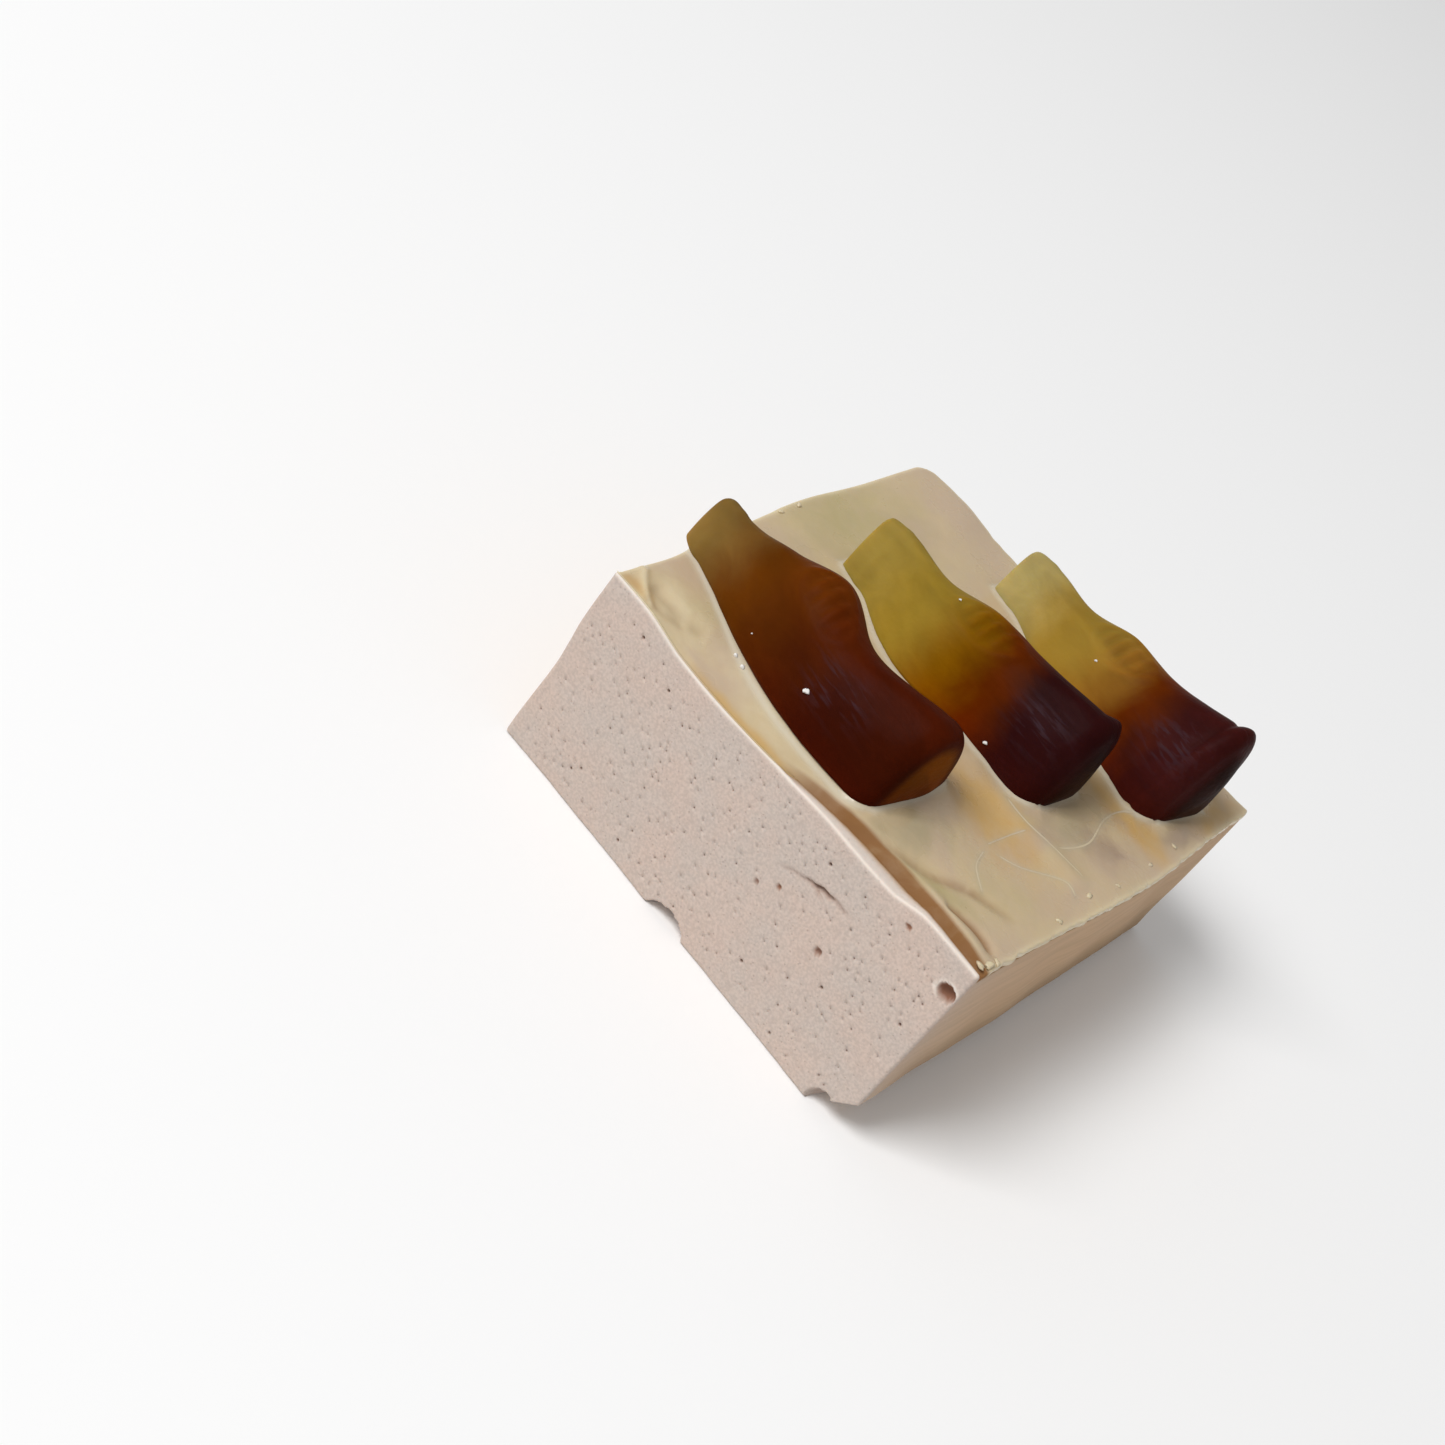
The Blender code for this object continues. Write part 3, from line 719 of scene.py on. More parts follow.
class StudioSettings(bpy.types.PropertyGroup):
    floor: colour_property("Floor", "Plain floor", (0.96, 0.96, 0.96))
    key: bpy.props.FloatProperty(
        name="Key light", description="Power of the main soft light", default=19.0, unit="POWER", min=0.0)
    room: bpy.props.FloatProperty(
        name="Room light", description="Strength of the light from all round", default=0.4, min=0.0)


# The slab

def slab_points(index, counts):
    """The slab's skin: a rounded block, drawn to its corners, sagging edge and slanted cut."""
    size = (SLAB_WIDTH, SLAB_DEPTH, SLAB_HEIGHT)
    lines = (spaced(SLAB_WIDTH, counts[0], EDGE_LINES, EDGE_LINES),
             spaced(SLAB_DEPTH, counts[1], SLAB_FRONT_LINES, EDGE_LINES),
             spaced(SLAB_HEIGHT, counts[2], EDGE_LINES, EDGE_LINES))
    block = np.stack([lines[axis][index[:, axis]] for axis in range(3)], axis=1)
    block = rounded(block, size, SLAB_ROUND)
    u, v, w = (block[:, axis] / size[axis] for axis in range(3))
    x, y = slab_plan(u, v, w)
    depth = v * SLAB_DEPTH
    height = top_height(x, y) - bed_depth(x, depth)
    height = height + BED_FOLD_SHARE * fold_height(x, y) * smooth((depth - rim_width(x)) / BED_WALL)
    z = w * height
    left, _ = slab_plan(np.zeros_like(u), v, w)
    slant = np.maximum(mix(SLANT_FRONT, SLANT_BACK, v) - z, 0.0)
    x = x - (x - left) * slant / SLAB_WIDTH
    bulge = SIDE_WAVE * np.sin(np.pi * w)
    y = y + CUT_WAVE * wave(x, z * 2.0, 2.0) * np.clip(1.0 - depth / 3.0, 0.0, 1.0)
    y = y + bulge * wave(x, z, 3.1) * smooth((v - 0.9) * 10.0)
    x = x + bulge * wave(y, z, 4.4) * smooth((0.1 - u) * 10.0)
    x = x + bulge * wave(y, z, 5.2) * smooth(v * 6.0) * smooth((u - 0.9) * 10.0)
    return np.stack((x, y, z), axis=1), depth, u, w


def press_hollows(points, depth):
    """Presses the hollows and tears into the front face; returns their stain, which is partly painted shade
    inside them, and their pale rims.
    """
    x, y, z = points.T
    stain = np.zeros(len(points))
    rims = np.zeros(len(points))
    push = np.zeros(len(points))
    fade = np.exp(-depth / HOLLOW_REACH)
    for hollow in HOLLOWS:
        across = (x - hollow["at"][0]) / hollow["size"][0]
        up = (z - hollow["at"][2]) / hollow["size"][2]
        inside = 1.0 - across ** 2 - up ** 2
        floor_y = hollow["at"][1] + hollow["size"][1] * np.sqrt(np.maximum(inside, 0.0))
        front_y = y * np.exp(-depth * 10.0) + (1.0 - np.exp(-depth * 10.0)) * (y - depth)
        reach = np.where(inside > 0.0, np.maximum(floor_y - front_y, 0.0), 0.0)
        push = np.maximum(push, reach)
        stain = np.maximum(stain, hollow["stain"] * smooth(inside * 2.5) * (reach > 0.05))
        pale = bell(inside, -0.25, 0.3) * smooth(0.8 + up - across)
        rims = np.maximum(rims, hollow.get("rim", 0.0) * pale)
    for tear in TEARS:
        for start, end in zip(tear, tear[1:]):
            away, t = away_from_line(x, z, start, end)
            deep = mix(start[2], end[2], t)
            push = np.maximum(push, deep * bell(away, 0.0, TEAR_WIDTH))
            stain = np.maximum(stain, np.minimum(deep, 1.0) * bell(away, 0.0, TEAR_WIDTH * 1.2))
    points[:, 1] = y + push * fade
    return stain * (depth < 0.8), rims * (depth < 0.5)


def pore_sites(counts, taken, rng):
    """Grid points for the pores' middles, no two closer than three strips."""
    sites = []
    for kind in PORE_SIZES:
        group = []
        tries = 0
        while len(group) < kind["number"] and tries < PORE_TRIES * kind["number"]:
            tries += 1
            i = int(rng.integers(PORE_MARGIN, counts[0] - PORE_MARGIN))
            k = int(rng.integers(PORE_MARGIN, counts[2] - PORE_MARGIN))
            if taken[i - 2:i + 3, k - 2:k + 3].any():
                continue
            taken[i, k] = True
            group.append((i, k, float(rng.uniform(*kind["radius"]))))
        sites.append(group)
    return sites


def round_mouths(points, lookup, sites):
    """Draws the eight grid points round each pore's middle onto a circle."""
    for i, k, radius in sites:
        middle = points[lookup[i, k]]
        for step_i, step_k in ((1, 0), (1, 1), (0, 1), (-1, 1), (-1, 0), (-1, -1), (0, -1), (1, -1)):
            angle = math.atan2(step_k, step_i)
            spot = lookup[i + step_i, k + step_k]
            points[spot, 0] = middle[0] + radius * math.cos(angle)
            points[spot, 2] = middle[2] + radius * math.sin(angle)


def sink_pores(block, middles, deep, step, shade):
    """Insets the four faces round each middle point and pushes them into the foam."""
    choose(block)
    bpy.context.tool_settings.mesh_select_mode = (False, False, True)
    bpy.ops.object.mode_set(mode="EDIT")
    bpy.ops.mesh.select_all(action="DESELECT")
    mesh = bmesh.from_edit_mesh(block.data)
    mesh.verts.ensure_lookup_table()
    for middle in middles:
        for face in mesh.verts[middle].link_faces:
            face.select_set(True)
    bmesh.update_edit_mesh(block.data)
    bpy.ops.mesh.inset(thickness=step * MM, depth=0.0)
    bpy.ops.transform.translate(value=(0.0, deep * MM, 0.0))
    mesh = bmesh.from_edit_mesh(block.data)
    # The stain laid inside each pore is partly painted shade.
    stain = mesh.verts.layers.float["stain"]
    for vert in mesh.verts:
        if vert.select:
            vert[stain] = max(vert[stain], shade)
    bmesh.update_edit_mesh(block.data)
    bpy.ops.mesh.select_all(action="DESELECT")
    bpy.ops.object.mode_set(mode="OBJECT")


def mix_plain(tree, value, share):
    """The value where share is 1, and an even middle value where it is 0."""
    return maths(tree, "ADD", 0.6, times(tree, share, maths(tree, "SUBTRACT", value, 0.6)))


def foam_material(settings):
    material, tree, shader = new_material("marshmallow foam")
    mottled = remap(tree, clouds(tree, 9.0, 4.0), 0.35, 0.65)
    foam = blend(tree, mottled, settings.foam, settings.foam_warm)
    speckle = remap(tree, clouds(tree, 0.35, 3.0), 0.3, 0.7, 0.9, 1.07)
    foam = dimmed(tree, foam, speckle)
    # Painted shade: small dark spots on the cut face for tiny pores, which are only dents in the bump.
    where = node(tree, "ShaderNodeTexCoord").outputs["Object"]
    cells = node(tree, "ShaderNodeTexVoronoi", {"Vector": where, "Scale": 1700.0}, feature="F1")
    chance = node(tree, "ShaderNodeSeparateColor", {"Color": cells.outputs["Color"]}).outputs["Red"]
    pinhole = times(tree, remap(tree, cells.outputs["Distance"], 0.28, 0.1),
                    remap(tree, chance, 0.62, 0.7))
    front = maths(tree, "SUBTRACT", 1.0, read_attribute(tree, "side"))
    pinhole = times(tree, pinhole, front)
    foam = blend(tree, times(tree, pinhole, 0.3), foam, (0.27, 0.19, 0.16))
    streak = remap(tree, clouds(tree, 0.9, 4.0, (1.0, 16.0, 1.0), 0.3), 0.32, 0.68)
    streak = mix_plain(tree, streak, read_attribute(tree, "cut"))
    darker, lighter = ([share * part for part in settings.side] for share in SIDE_STREAKS)
    side = blend(tree, streak, darker, lighter)
    # Painted shade: the sides darken towards the base.
    side = blend(tree, times(tree, read_attribute(tree, "low"), 0.55), side, settings.base)
    colour = blend(tree, read_attribute(tree, "side"), foam, side)
    # The lip colour covers the bare rim, the pale rim of the bubble and a painted highlight along the front
    # top edge.
    colour = blend(tree, read_attribute(tree, "lip"), colour, settings.lip)
    # Groove behind the rim: partly brown, partly painted shade.
    colour = blend(tree, read_attribute(tree, "groove"), colour, settings.groove)
    # Pores, hollows and tears: partly reddish-brown stain, partly painted shade.
    colour = blend(tree, read_attribute(tree, "stain"), colour, settings.stain)
    tree.links.new(colour, shader.inputs["Base Color"])
    rough = remap(tree, read_attribute(tree, "lip"), 0.0, 1.0, settings.roughness, 0.4)
    tree.links.new(rough, shader.inputs["Roughness"])
    height = maths(tree, "ADD", times(tree, clouds(tree, 0.7, 4.0), 0.5),
                   times(tree, pinhole, -0.8))
    bump = node(tree, "ShaderNodeBump", {"Height": height, "Strength": 0.35, "Distance": 0.0002})
    tree.links.new(bump.outputs["Normal"], shader.inputs["Normal"])
    shader.inputs["Specular IOR Level"].default_value = 0.3
    shader.inputs["Subsurface Weight"].default_value = 0.12
    shader.inputs["Subsurface Radius"].default_value = (1.0, 0.6, 0.4)
    shader.inputs["Subsurface Scale"].default_value = 0.0015
    return material


class MARSHMALLOW_OT_slab(bpy.types.Operator):
    """Builds the block of marshmallow with its porous front face, hollows and slanted cut"""
    bl_idname = "marshmallow.slab"
    bl_label = "Marshmallow Block"
    bl_options = {"REGISTER", "UNDO"}

    def execute(self, context):
        settings = context.scene.marshmallow_slab
        block, index, counts = grid_block("marshmallow_block", SLAB_CUTS)
        points, depth, u, w = slab_points(index, counts)
        stain, rims = press_hollows(points, depth)
        on_front = index[:, 1] == 0
        lookup = np.zeros((counts[0] + 1, counts[2] + 1), int)
        lookup[index[on_front, 0], index[on_front, 2]] = np.flatnonzero(on_front)
        taken = np.zeros(lookup.shape, bool)
        marked = on_front & (stain > 0.02)
        taken[index[marked, 0], index[marked, 2]] = True
        rng = np.random.default_rng(PORE_SEED)
        groups = pore_sites(counts, taken, rng)
        for sites in groups:
            round_mouths(points, lookup, sites)
        lumps = grain(points, 2.2, 1) * 0.05 + grain(points, 0.8, 2) * 0.02
        points[:, 1] += lumps * (depth < 0.6)
        from_top = (1.0 - w) * SLAB_HEIGHT
        # Painted highlight: a bright line along the front top edge, where the rounded edge would catch the
        # light.
        edge = bell(from_top, 0.0, 0.32) * bell(depth, 0.0, 0.4)
        x, _, z = points.T
        width = rim_width(x)
        on_top = from_top < 0.25
        bare = 1.0 - flow_share(x)
        lip = on_top * (1.0 - smooth((depth - 0.4 * width) / (0.6 * width))) * bare
        # The crevice behind the lip, painted brown: partly the cream's own brown, partly shade.
        groove = on_top * smooth((depth - 0.75 * width) / (0.3 * width)) * bare
        write_attribute(block, "groove", groove)
        sides = smooth((depth - 0.15) / 0.5) * (1.0 - 0.55 * np.exp(-depth / 9.0))
        write_attribute(block, "stain", stain)
        write_attribute(block, "side", sides * (1.0 - np.clip(lip, 0.0, 1.0)))
        write_attribute(block, "lip", np.clip(np.maximum(np.maximum(lip * 0.6, edge), rims), 0.0, 1.0))
        # Where the painted shade lies: low on the sides, away from the front.
        write_attribute(block, "low", (1.0 - smooth(z / 13.0)) * smooth((depth - 2.0) / 6.0))
        write_attribute(block, "cut", 0.12 + 0.88 * smooth((u - 0.9) * 10.0))
        write_points(block, place(points))
        for kind, sites in zip(PORE_SIZES, groups):
            middles = [int(lookup[i, k]) for i, k, _ in sites]
            sink_pores(block, middles, kind["depth"], kind["step"], kind["stain"])
        finish_piece(block, foam_material(settings), ["marshmallow"])
        return {"FINISHED"}


# The icing

def stain_light_and_shade_strength(kind, x, y):
    total = np.zeros_like(x)
    drift_x = 1.3 * wave(3.1 * x, 3.1 * y, 0.7) + 0.6 * wave(7.3 * x, 7.3 * y, 2.9)
    drift_y = 1.3 * wave(2.7 * y, 2.7 * x, 1.9) + 0.6 * wave(6.7 * y, 6.7 * x, 0.4)
    for name, middle, size, turn, strength in ICING_STAINS_LIGHT_AND_SHADE:
        if name != kind:
            continue
        c = math.cos(math.radians(turn))
        s = math.sin(math.radians(turn))
        wander = min(min(size) / 4.0, 1.0)
        off_x = x + wander * drift_x - middle[0]
        off_y = y + wander * drift_y - middle[1]
        run = off_x * c + off_y * s
        across = off_y * c - off_x * s
        away = (run / size[0]) ** 2 + (across / size[1]) ** 2
        total = np.maximum(total, strength * np.exp(-away ** 1.2))
    return total


def icing_points(index, counts):
    size = (SLAB_WIDTH, SLAB_DEPTH, ICING_THICKNESS)
    lines = (spaced(SLAB_WIDTH, counts[0], ICING_EDGE_LINES, ICING_EDGE_LINES),
             spaced(SLAB_DEPTH, counts[1], ICING_FRONT_LINES, ICING_EDGE_LINES),
             np.array(ICING_RISES))
    block = np.stack([lines[axis][index[:, axis]] for axis in range(3)], axis=1)
    block = rounded(block, size, ICING_ROUND)
    u, v, w = (block[:, axis] / size[axis] for axis in range(3))
    x_guess, _ = slab_plan(u, np.zeros_like(v), np.ones_like(w))
    start = mix(rim_width(x_guess) + BED_WALL, 0.22, flow_share(x_guess))
    v = start / SLAB_DEPTH + v * (1.0 - start / SLAB_DEPTH)
    x, y = slab_plan(u, v, np.ones_like(w))
    depth = v * SLAB_DEPTH
    from_front = depth - start
    ragged = grain(np.stack((x * 0.0, y, y * 0.0), axis=1), 1.6, 3)
    x = x + smooth((u - 0.98) * 50.0) * (0.05 + 0.25 * ragged)
    y = y + smooth((v - 0.98) * 50.0) * 0.3 * grain(np.stack((x, y * 0.0, y * 0.0), axis=1), 1.8, 4)
    upper = icing_height(x, y)
    upper = upper - 0.8 * np.exp(-(from_front / 1.3) ** 2) * (1.0 - flow_share(x))
    upper = upper - 0.12 * np.exp(-from_front / 0.5) * flow_share(x)
    edge = np.minimum(np.minimum(u * SLAB_WIDTH, (1.0 - u) * SLAB_WIDTH), (1.0 - v) * SLAB_DEPTH)
    upper = upper - 0.25 * np.exp(-edge / 0.8)
    lower = top_height(x, y) - bed_depth(x, depth) - 0.05
    lower = lower + BED_FOLD_SHARE * fold_height(x, y) * smooth((depth - rim_width(x)) / BED_WALL)
    z = mix(lower, np.maximum(upper, lower + 0.15), w)
    return np.stack((x, y, z), axis=1), from_front, edge, w


def draw_wrinkle(wrinkle):
    """A thin raised wrinkle: a soft cord, mostly sunk in the icing, that thins out at both ends."""
    spots = ease_line(wrinkle["line"], WRINKLE_STEP)
    heights = icing_height(spots[:, 0], spots[:, 1]) - wrinkle["radius"] * WRINKLE_SINK
    curve = bpy.data.curves.new(wrinkle["name"], "CURVE")
    curve.dimensions = "3D"
    curve.bevel_depth = wrinkle["radius"] * MM
    curve.bevel_resolution = 2
    curve.use_fill_caps = True
    spline = curve.splines.new("POLY")
    spline.points.add(len(spots) - 1)
    for k, (x, y) in enumerate(spots):
        share = k / (len(spots) - 1)
        spline.points[k].co = (*place((x, y, heights[k])), 1.0)
        spline.points[k].radius = 0.15 + 0.85 * float(smooth(share * 6.0) * smooth((1.0 - share) * 6.0))
    piece = bpy.data.objects.new(wrinkle["name"], curve)
    bpy.context.scene.collection.objects.link(piece)
    choose(piece)
    bpy.ops.object.convert(target="MESH")
    made = bpy.context.active_object
    write_attribute(made, "pale", np.full(len(made.data.vertices), 0.5))
    return made


def add_crumb(spot, size, seed, shape):
    """A small ragged lump at a spot in the slab's frame, half sunk in what it lies on."""
    start_clean()
    bpy.ops.mesh.primitive_ico_sphere_add(subdivisions=2, radius=1.0)
    lump = bpy.context.active_object
    points = read_points(lump)
    points = points * (1.0 + 0.75 * grain(points, 0.9, seed))[:, None] * size * np.array(shape)
    turn = seed * 1.3
    x = points[:, 0] * math.cos(turn) - points[:, 1] * math.sin(turn)
    y = points[:, 0] * math.sin(turn) + points[:, 1] * math.cos(turn)
    write_points(lump, place(np.stack((x, y, points[:, 2]), axis=1) + np.asarray(spot)))
    write_attribute(lump, "pale", np.full(len(points), 0.55))
    return lump


def join_to(piece, others):
    choose(piece, others)
    bpy.ops.object.join()


def icing_material(settings):
    material, tree, shader = new_material("marbled icing")
    marble = remap(tree, clouds(tree, 12.0, 5.0, (1.0, 1.6, 1.0), 1.2), 0.35, 0.65)
    colour = blend(tree, marble, settings.cream, settings.blush)
    warp = times(tree, maths(tree, "SUBTRACT", clouds(tree, 3.0, 4.0, warp=0.6), 0.5), 0.7)
    # Some of these colours paint light and shade: the caramel behind the gummies' feet is amber light
    # through the jelly, and the pool and crease colours are partly shade.
    for name, shade, amount in (("khaki", settings.khaki, 1.0), ("blush", settings.blush, 1.0),
                                ("caramel", settings.caramel, 1.0), ("pool", settings.pool, 0.95),
                                ("plum", settings.plum, 0.9), ("crease", settings.crease, 1.0),
                                ("pale", settings.pale, 1.0)):
        mask = read_attribute(tree, name)
        wide = times(tree, remap(tree, mask, 0.0, 0.25), warp)
        mask = maths(tree, "ADD", mask, wide, clamp=True)
        colour = blend(tree, times(tree, mask, amount), colour, shade)
    # Painted highlight: a pale line of glaze along each gummy's edge, partly the glaze's own colour and
    # partly the light its meniscus catches.
    glaze = read_attribute(tree, "glaze")
    colour = blend(tree, times(tree, glaze, 0.45), colour, (0.72, 0.68, 0.58))
    tree.links.new(colour, shader.inputs["Base Color"])
    rough = remap(tree, clouds(tree, 5.0, 3.0), 0.3, 0.7,
                  settings.roughness - 0.08, settings.roughness + 0.1)
    wet = maths(tree, "MAXIMUM", glaze, times(tree, read_attribute(tree, "pool"), 0.6))
    rough = maths(tree, "SUBTRACT", rough, times(tree, wet, 0.2))
    dull = times(tree, read_attribute(tree, "crease"), 0.5)
    rough = maths(tree, "ADD", rough, dull, clamp=True)
    tree.links.new(rough, shader.inputs["Roughness"])
    height = maths(tree, "ADD", clouds(tree, 2.2, 2.0), times(tree, clouds(tree, 0.5, 2.0), 0.12))
    bump = node(tree, "ShaderNodeBump", {"Height": height, "Strength": 0.25, "Distance": 0.0003})
    tree.links.new(bump.outputs["Normal"], shader.inputs["Normal"])
    shader.inputs["Specular IOR Level"].default_value = 0.45
    shader.inputs["Subsurface Weight"].default_value = 0.15
    shader.inputs["Subsurface Radius"].default_value = (1.0, 0.7, 0.4)
    shader.inputs["Subsurface Scale"].default_value = 0.0015
    return material


class MARSHMALLOW_OT_icing(bpy.types.Operator):
    """Builds the marbled icing with its folds, wrinkles and glaze round the gummies"""
    bl_idname = "marshmallow.icing"
    bl_label = "Marbled Icing"
    bl_options = {"REGISTER", "UNDO"}

    def execute(self, context):
        settings = context.scene.marshmallow_icing
        sheet, index, counts = grid_block("icing_sheet", ICING_CUTS)
        points, from_front, edge, w = icing_points(index, counts)
        x, y = points[:, 0], points[:, 1]
        contact = np.zeros(len(points))
        glaze = np.zeros(len(points))
        for gummy in GUMMIES:
            outside, _ = outside_gummy(gummy, x, y)
            contact = np.maximum(contact, bell(np.maximum(outside, 0.0), 0.0, 1.2))
            glaze = np.maximum(glaze, bell(outside, 0.2, 0.45))
        # The crevice behind the lip, painted in the crease brown: partly the icing's own brown, partly
        # shade.
        groove = (1.0 - smooth((from_front - 1.3) / 0.8)) * (1.0 - flow_share(x))
        # Painted shade: the pool colour, partly the glaze's own, lies close round each gummy and in the
        # pools by their feet.
        write_attribute(sheet, "pool", np.maximum(stain_light_and_shade_strength("pool", x, y), 0.5 * contact))
        # Where the painted highlight of the glaze lies: a thin line just outside each gummy.
        write_attribute(sheet, "glaze", glaze)
        # Caramel behind the gummies' feet is painted amber light through the jelly; along the front edge it
        # is the icing's own.
        for kind in ("caramel", "khaki", "blush", "plum"):
            write_attribute(sheet, kind, stain_light_and_shade_strength(kind, x, y))
        # Brown of the folds and the groove: partly the icing's own, partly painted shade.
        write_attribute(sheet, "crease", np.maximum(fold_stain_and_shade("brown", x, y), groove))
        halo = [fold_share(wrinkle, x, y, 0.3) for wrinkle in WRINKLES]
        pale = np.maximum(stain_light_and_shade_strength("pale", x, y), fold_stain_and_shade("pale", x, y))
        pale = np.maximum(pale, 0.22 * np.max(halo, axis=0) * (w > 0.5))
        rim = 0.75 * bell(edge, 0.0, 0.5) + bell(from_front, 0.0, 0.6) * flow_share(x) * bell(x, 6.0, 6.0)
        write_attribute(sheet, "pale", np.clip(np.maximum(pale, rim), 0.0, 1.0) * (1.0 - groove))
        write_points(sheet, place(points))
        details = [draw_wrinkle(wrinkle) for wrinkle in WRINKLES]
        for k, (at_x, at_y, size) in enumerate(CRUMBS):
            spot = (at_x, at_y, float(icing_height(at_x, at_y)) - 0.08 * size)
            details.append(add_crumb(spot, size, k, CRUMB_SHAPE))
        join_to(sheet, details)
        finish_piece(sheet, icing_material(settings), ["icing"])
        return {"FINISHED"}


# The gummies

def gummy_relief(gummy, share, angle, across, length):
    """Low relief on the jelly: ridges by the foot, a rim round it, and a soft oval on top."""
    ridges = RIDGE_RISE * bell(share, 0.83, 0.12) * np.cos(angle * 7.0 + 0.6)
    from_foot = (1.0 - share) * length
    rim = gummy["rim"] * (0.2 * bell(from_foot, 1.6, 0.9) - 0.45 * bell(from_foot, 3.2, 0.45))
    rim = rim + gummy["lip"] * bell(from_foot, 1.4, 1.2) * bell(angle, 1.0, 0.5)
    collar = COLLAR_RISE * bell(share * length, 3.2, 0.8)
    oval = np.hypot((share - 0.5) * length / BADGE_SIZE[0], (across + BADGE_SHIFT) / BADGE_SIZE[1])
    on_top = smooth(np.sin(angle) * 2.0 - 0.6)
    badge = BADGE_RISE * bell(oval, 1.0, 0.14) * on_top - BADGE_SINK * (oval < 0.9) * on_top
    bars = BADGE_BARS * np.sin(share * length * 3.1) * (1.0 - smooth((oval - 0.6) / 0.3)) * on_top
    return ridges + rim + collar + (badge + bars)


def gummy_points(gummy, share, angle, radius):
    tip, way, side, length = gummy_axes(gummy)
    half = along(STATIONS, gummy["widths"], share) * 0.5
    tall = along(STATIONS, gummy["heights"], share)
    shift = along(STATIONS, gummy["sway"], share) + 4.0 * gummy["bend"] * share * (1.0 - share)
    from_tip = share * length
    close = end_closing(gummy, from_tip, length)
    half = half * close
    tall = tall * mix(1.0, close, HEIGHT_CLOSE)
    power = 2.0 / SECTION_POWER
    turn = np.sign(np.cos(angle)) * np.abs(np.cos(angle)) ** power
    lift = np.abs(np.sin(angle)) ** power
    upper = np.sin(angle) > 0.0
    relief = gummy_relief(gummy, share, angle, half * turn, length) * (radius > 0.99)
    across = np.where(upper, half * turn * (1.0 - SECTION_DRAFT * lift), half * turn)
    up = np.where(upper, SECTION_BELLY + (tall - SECTION_BELLY) * lift, SECTION_BELLY * (1.0 - lift))
    across = across + relief * np.cos(angle)
    up = up + np.where(upper, relief * np.sin(angle), 0.0)
    middle = tall * 0.5
    across = across * radius
    hollow = UNDERSIDE * smooth(12.0 * share) * smooth(-2.0 * np.sin(angle) * radius)
    up = middle + (up - middle) * radius - hollow
    turned = across * math.cos(GUMMY_LEAN) - up * math.sin(GUMMY_LEAN)
    raised = across * math.sin(GUMMY_LEAN) + up * math.cos(GUMMY_LEAN)
    swell = (1.0 - radius ** 2) * np.where(share > 0.5, gummy["foot_swell"], -TIP_SWELL)
    run = from_tip + swell
    x = tip[0] + way[0] * run + side[0] * (shift + turned)
    y = tip[1] + way[1] * run + side[1] * (shift + turned)
    z = gummy_seat(gummy) + raised + TIP_LIFT * (1.0 - share)
    return np.stack((x, y, z), axis=1)


def shape_gummy(gummy):
    start_clean()
    bpy.ops.mesh.primitive_cylinder_add(vertices=GUMMY_SIDES, radius=1.0, depth=1.0, end_fill_type="NGON")
    piece = bpy.context.active_object
    piece.name = "gummy_" + gummy["name"] + "_jelly"
    piece.data.name = piece.name
    for parts in GUMMY_CUTS:
        cut_edges(piece, 2, parts)
    bpy.context.tool_settings.mesh_select_mode = (False, False, True)
    bpy.ops.object.mode_set(mode="EDIT")
    bpy.ops.mesh.select_all(action="DESELECT")
    mesh = bmesh.from_edit_mesh(piece.data)
    for face in mesh.faces:
        face.select_set(len(face.verts) > 4)
    bmesh.update_edit_mesh(piece.data)
    for _ in range(CAP_RINGS):
        bpy.ops.mesh.inset(thickness=0.9 / CAP_RINGS, use_individual=True)
    bpy.ops.mesh.poke()
    bpy.ops.object.mode_set(mode="OBJECT")
    flat = read_points(piece)
    even = flat[:, 2] + 0.5
    share = mix(even, 0.5 - 0.5 * np.cos(np.pi * even), END_CROWDING)
    angle = np.arctan2(flat[:, 1], flat[:, 0])
    radius = np.minimum(np.hypot(flat[:, 0], flat[:, 1]), 1.0)
    points = gummy_points(gummy, share, angle, radius)
    points[:, 2] += grain(points, 5.0, len(gummy["name"])) * JELLY_LUMPS * (np.sin(angle) > 0.0)
    points[:, 1] += grain(points, 4.0, 2 + len(gummy["name"])) * JELLY_LUMPS
    skewed = share + gummy["skew"] * (0.5 + np.cos(angle)) * bell(share, 0.62, 0.3)
    write_attribute(piece, "share", skewed)
    # Where the painted glow lies: low on the jelly, close above the icing, towards the foot.
    low = bell(np.maximum(points[:, 2] - gummy_seat(gummy) - GUMMY_SINK, 0.0), 0.0, 3.0)
    write_attribute(piece, "low", low * smooth((share - 0.3) / 0.3))
    # Where the painted highlight lies: a band on the front side of the jelly near the foot.
    write_attribute(piece, "bloom", bell(angle, 2.55, 0.3) * bell(share, gummy["bloom"], 0.09))
    # Painted light and shade by the angle round the jelly: where lit is 1 the body is painted lighter on
    # its back top and darker on its front side; on the necks, and on gummies whose lit is 0, the back top
    # is painted darker.
    lit = smooth((np.sin(angle + 0.45) + 0.1) / 0.9)
    write_attribute(piece, "lit", mix(0.75 - 0.75 * lit, lit, gummy["lit"] * smooth((share - 0.2) / 0.3)))
    write_attribute(piece, "end", (share > 0.97) * smooth((0.95 - radius) / 0.2))
    write_points(piece, place(points))
    return piece


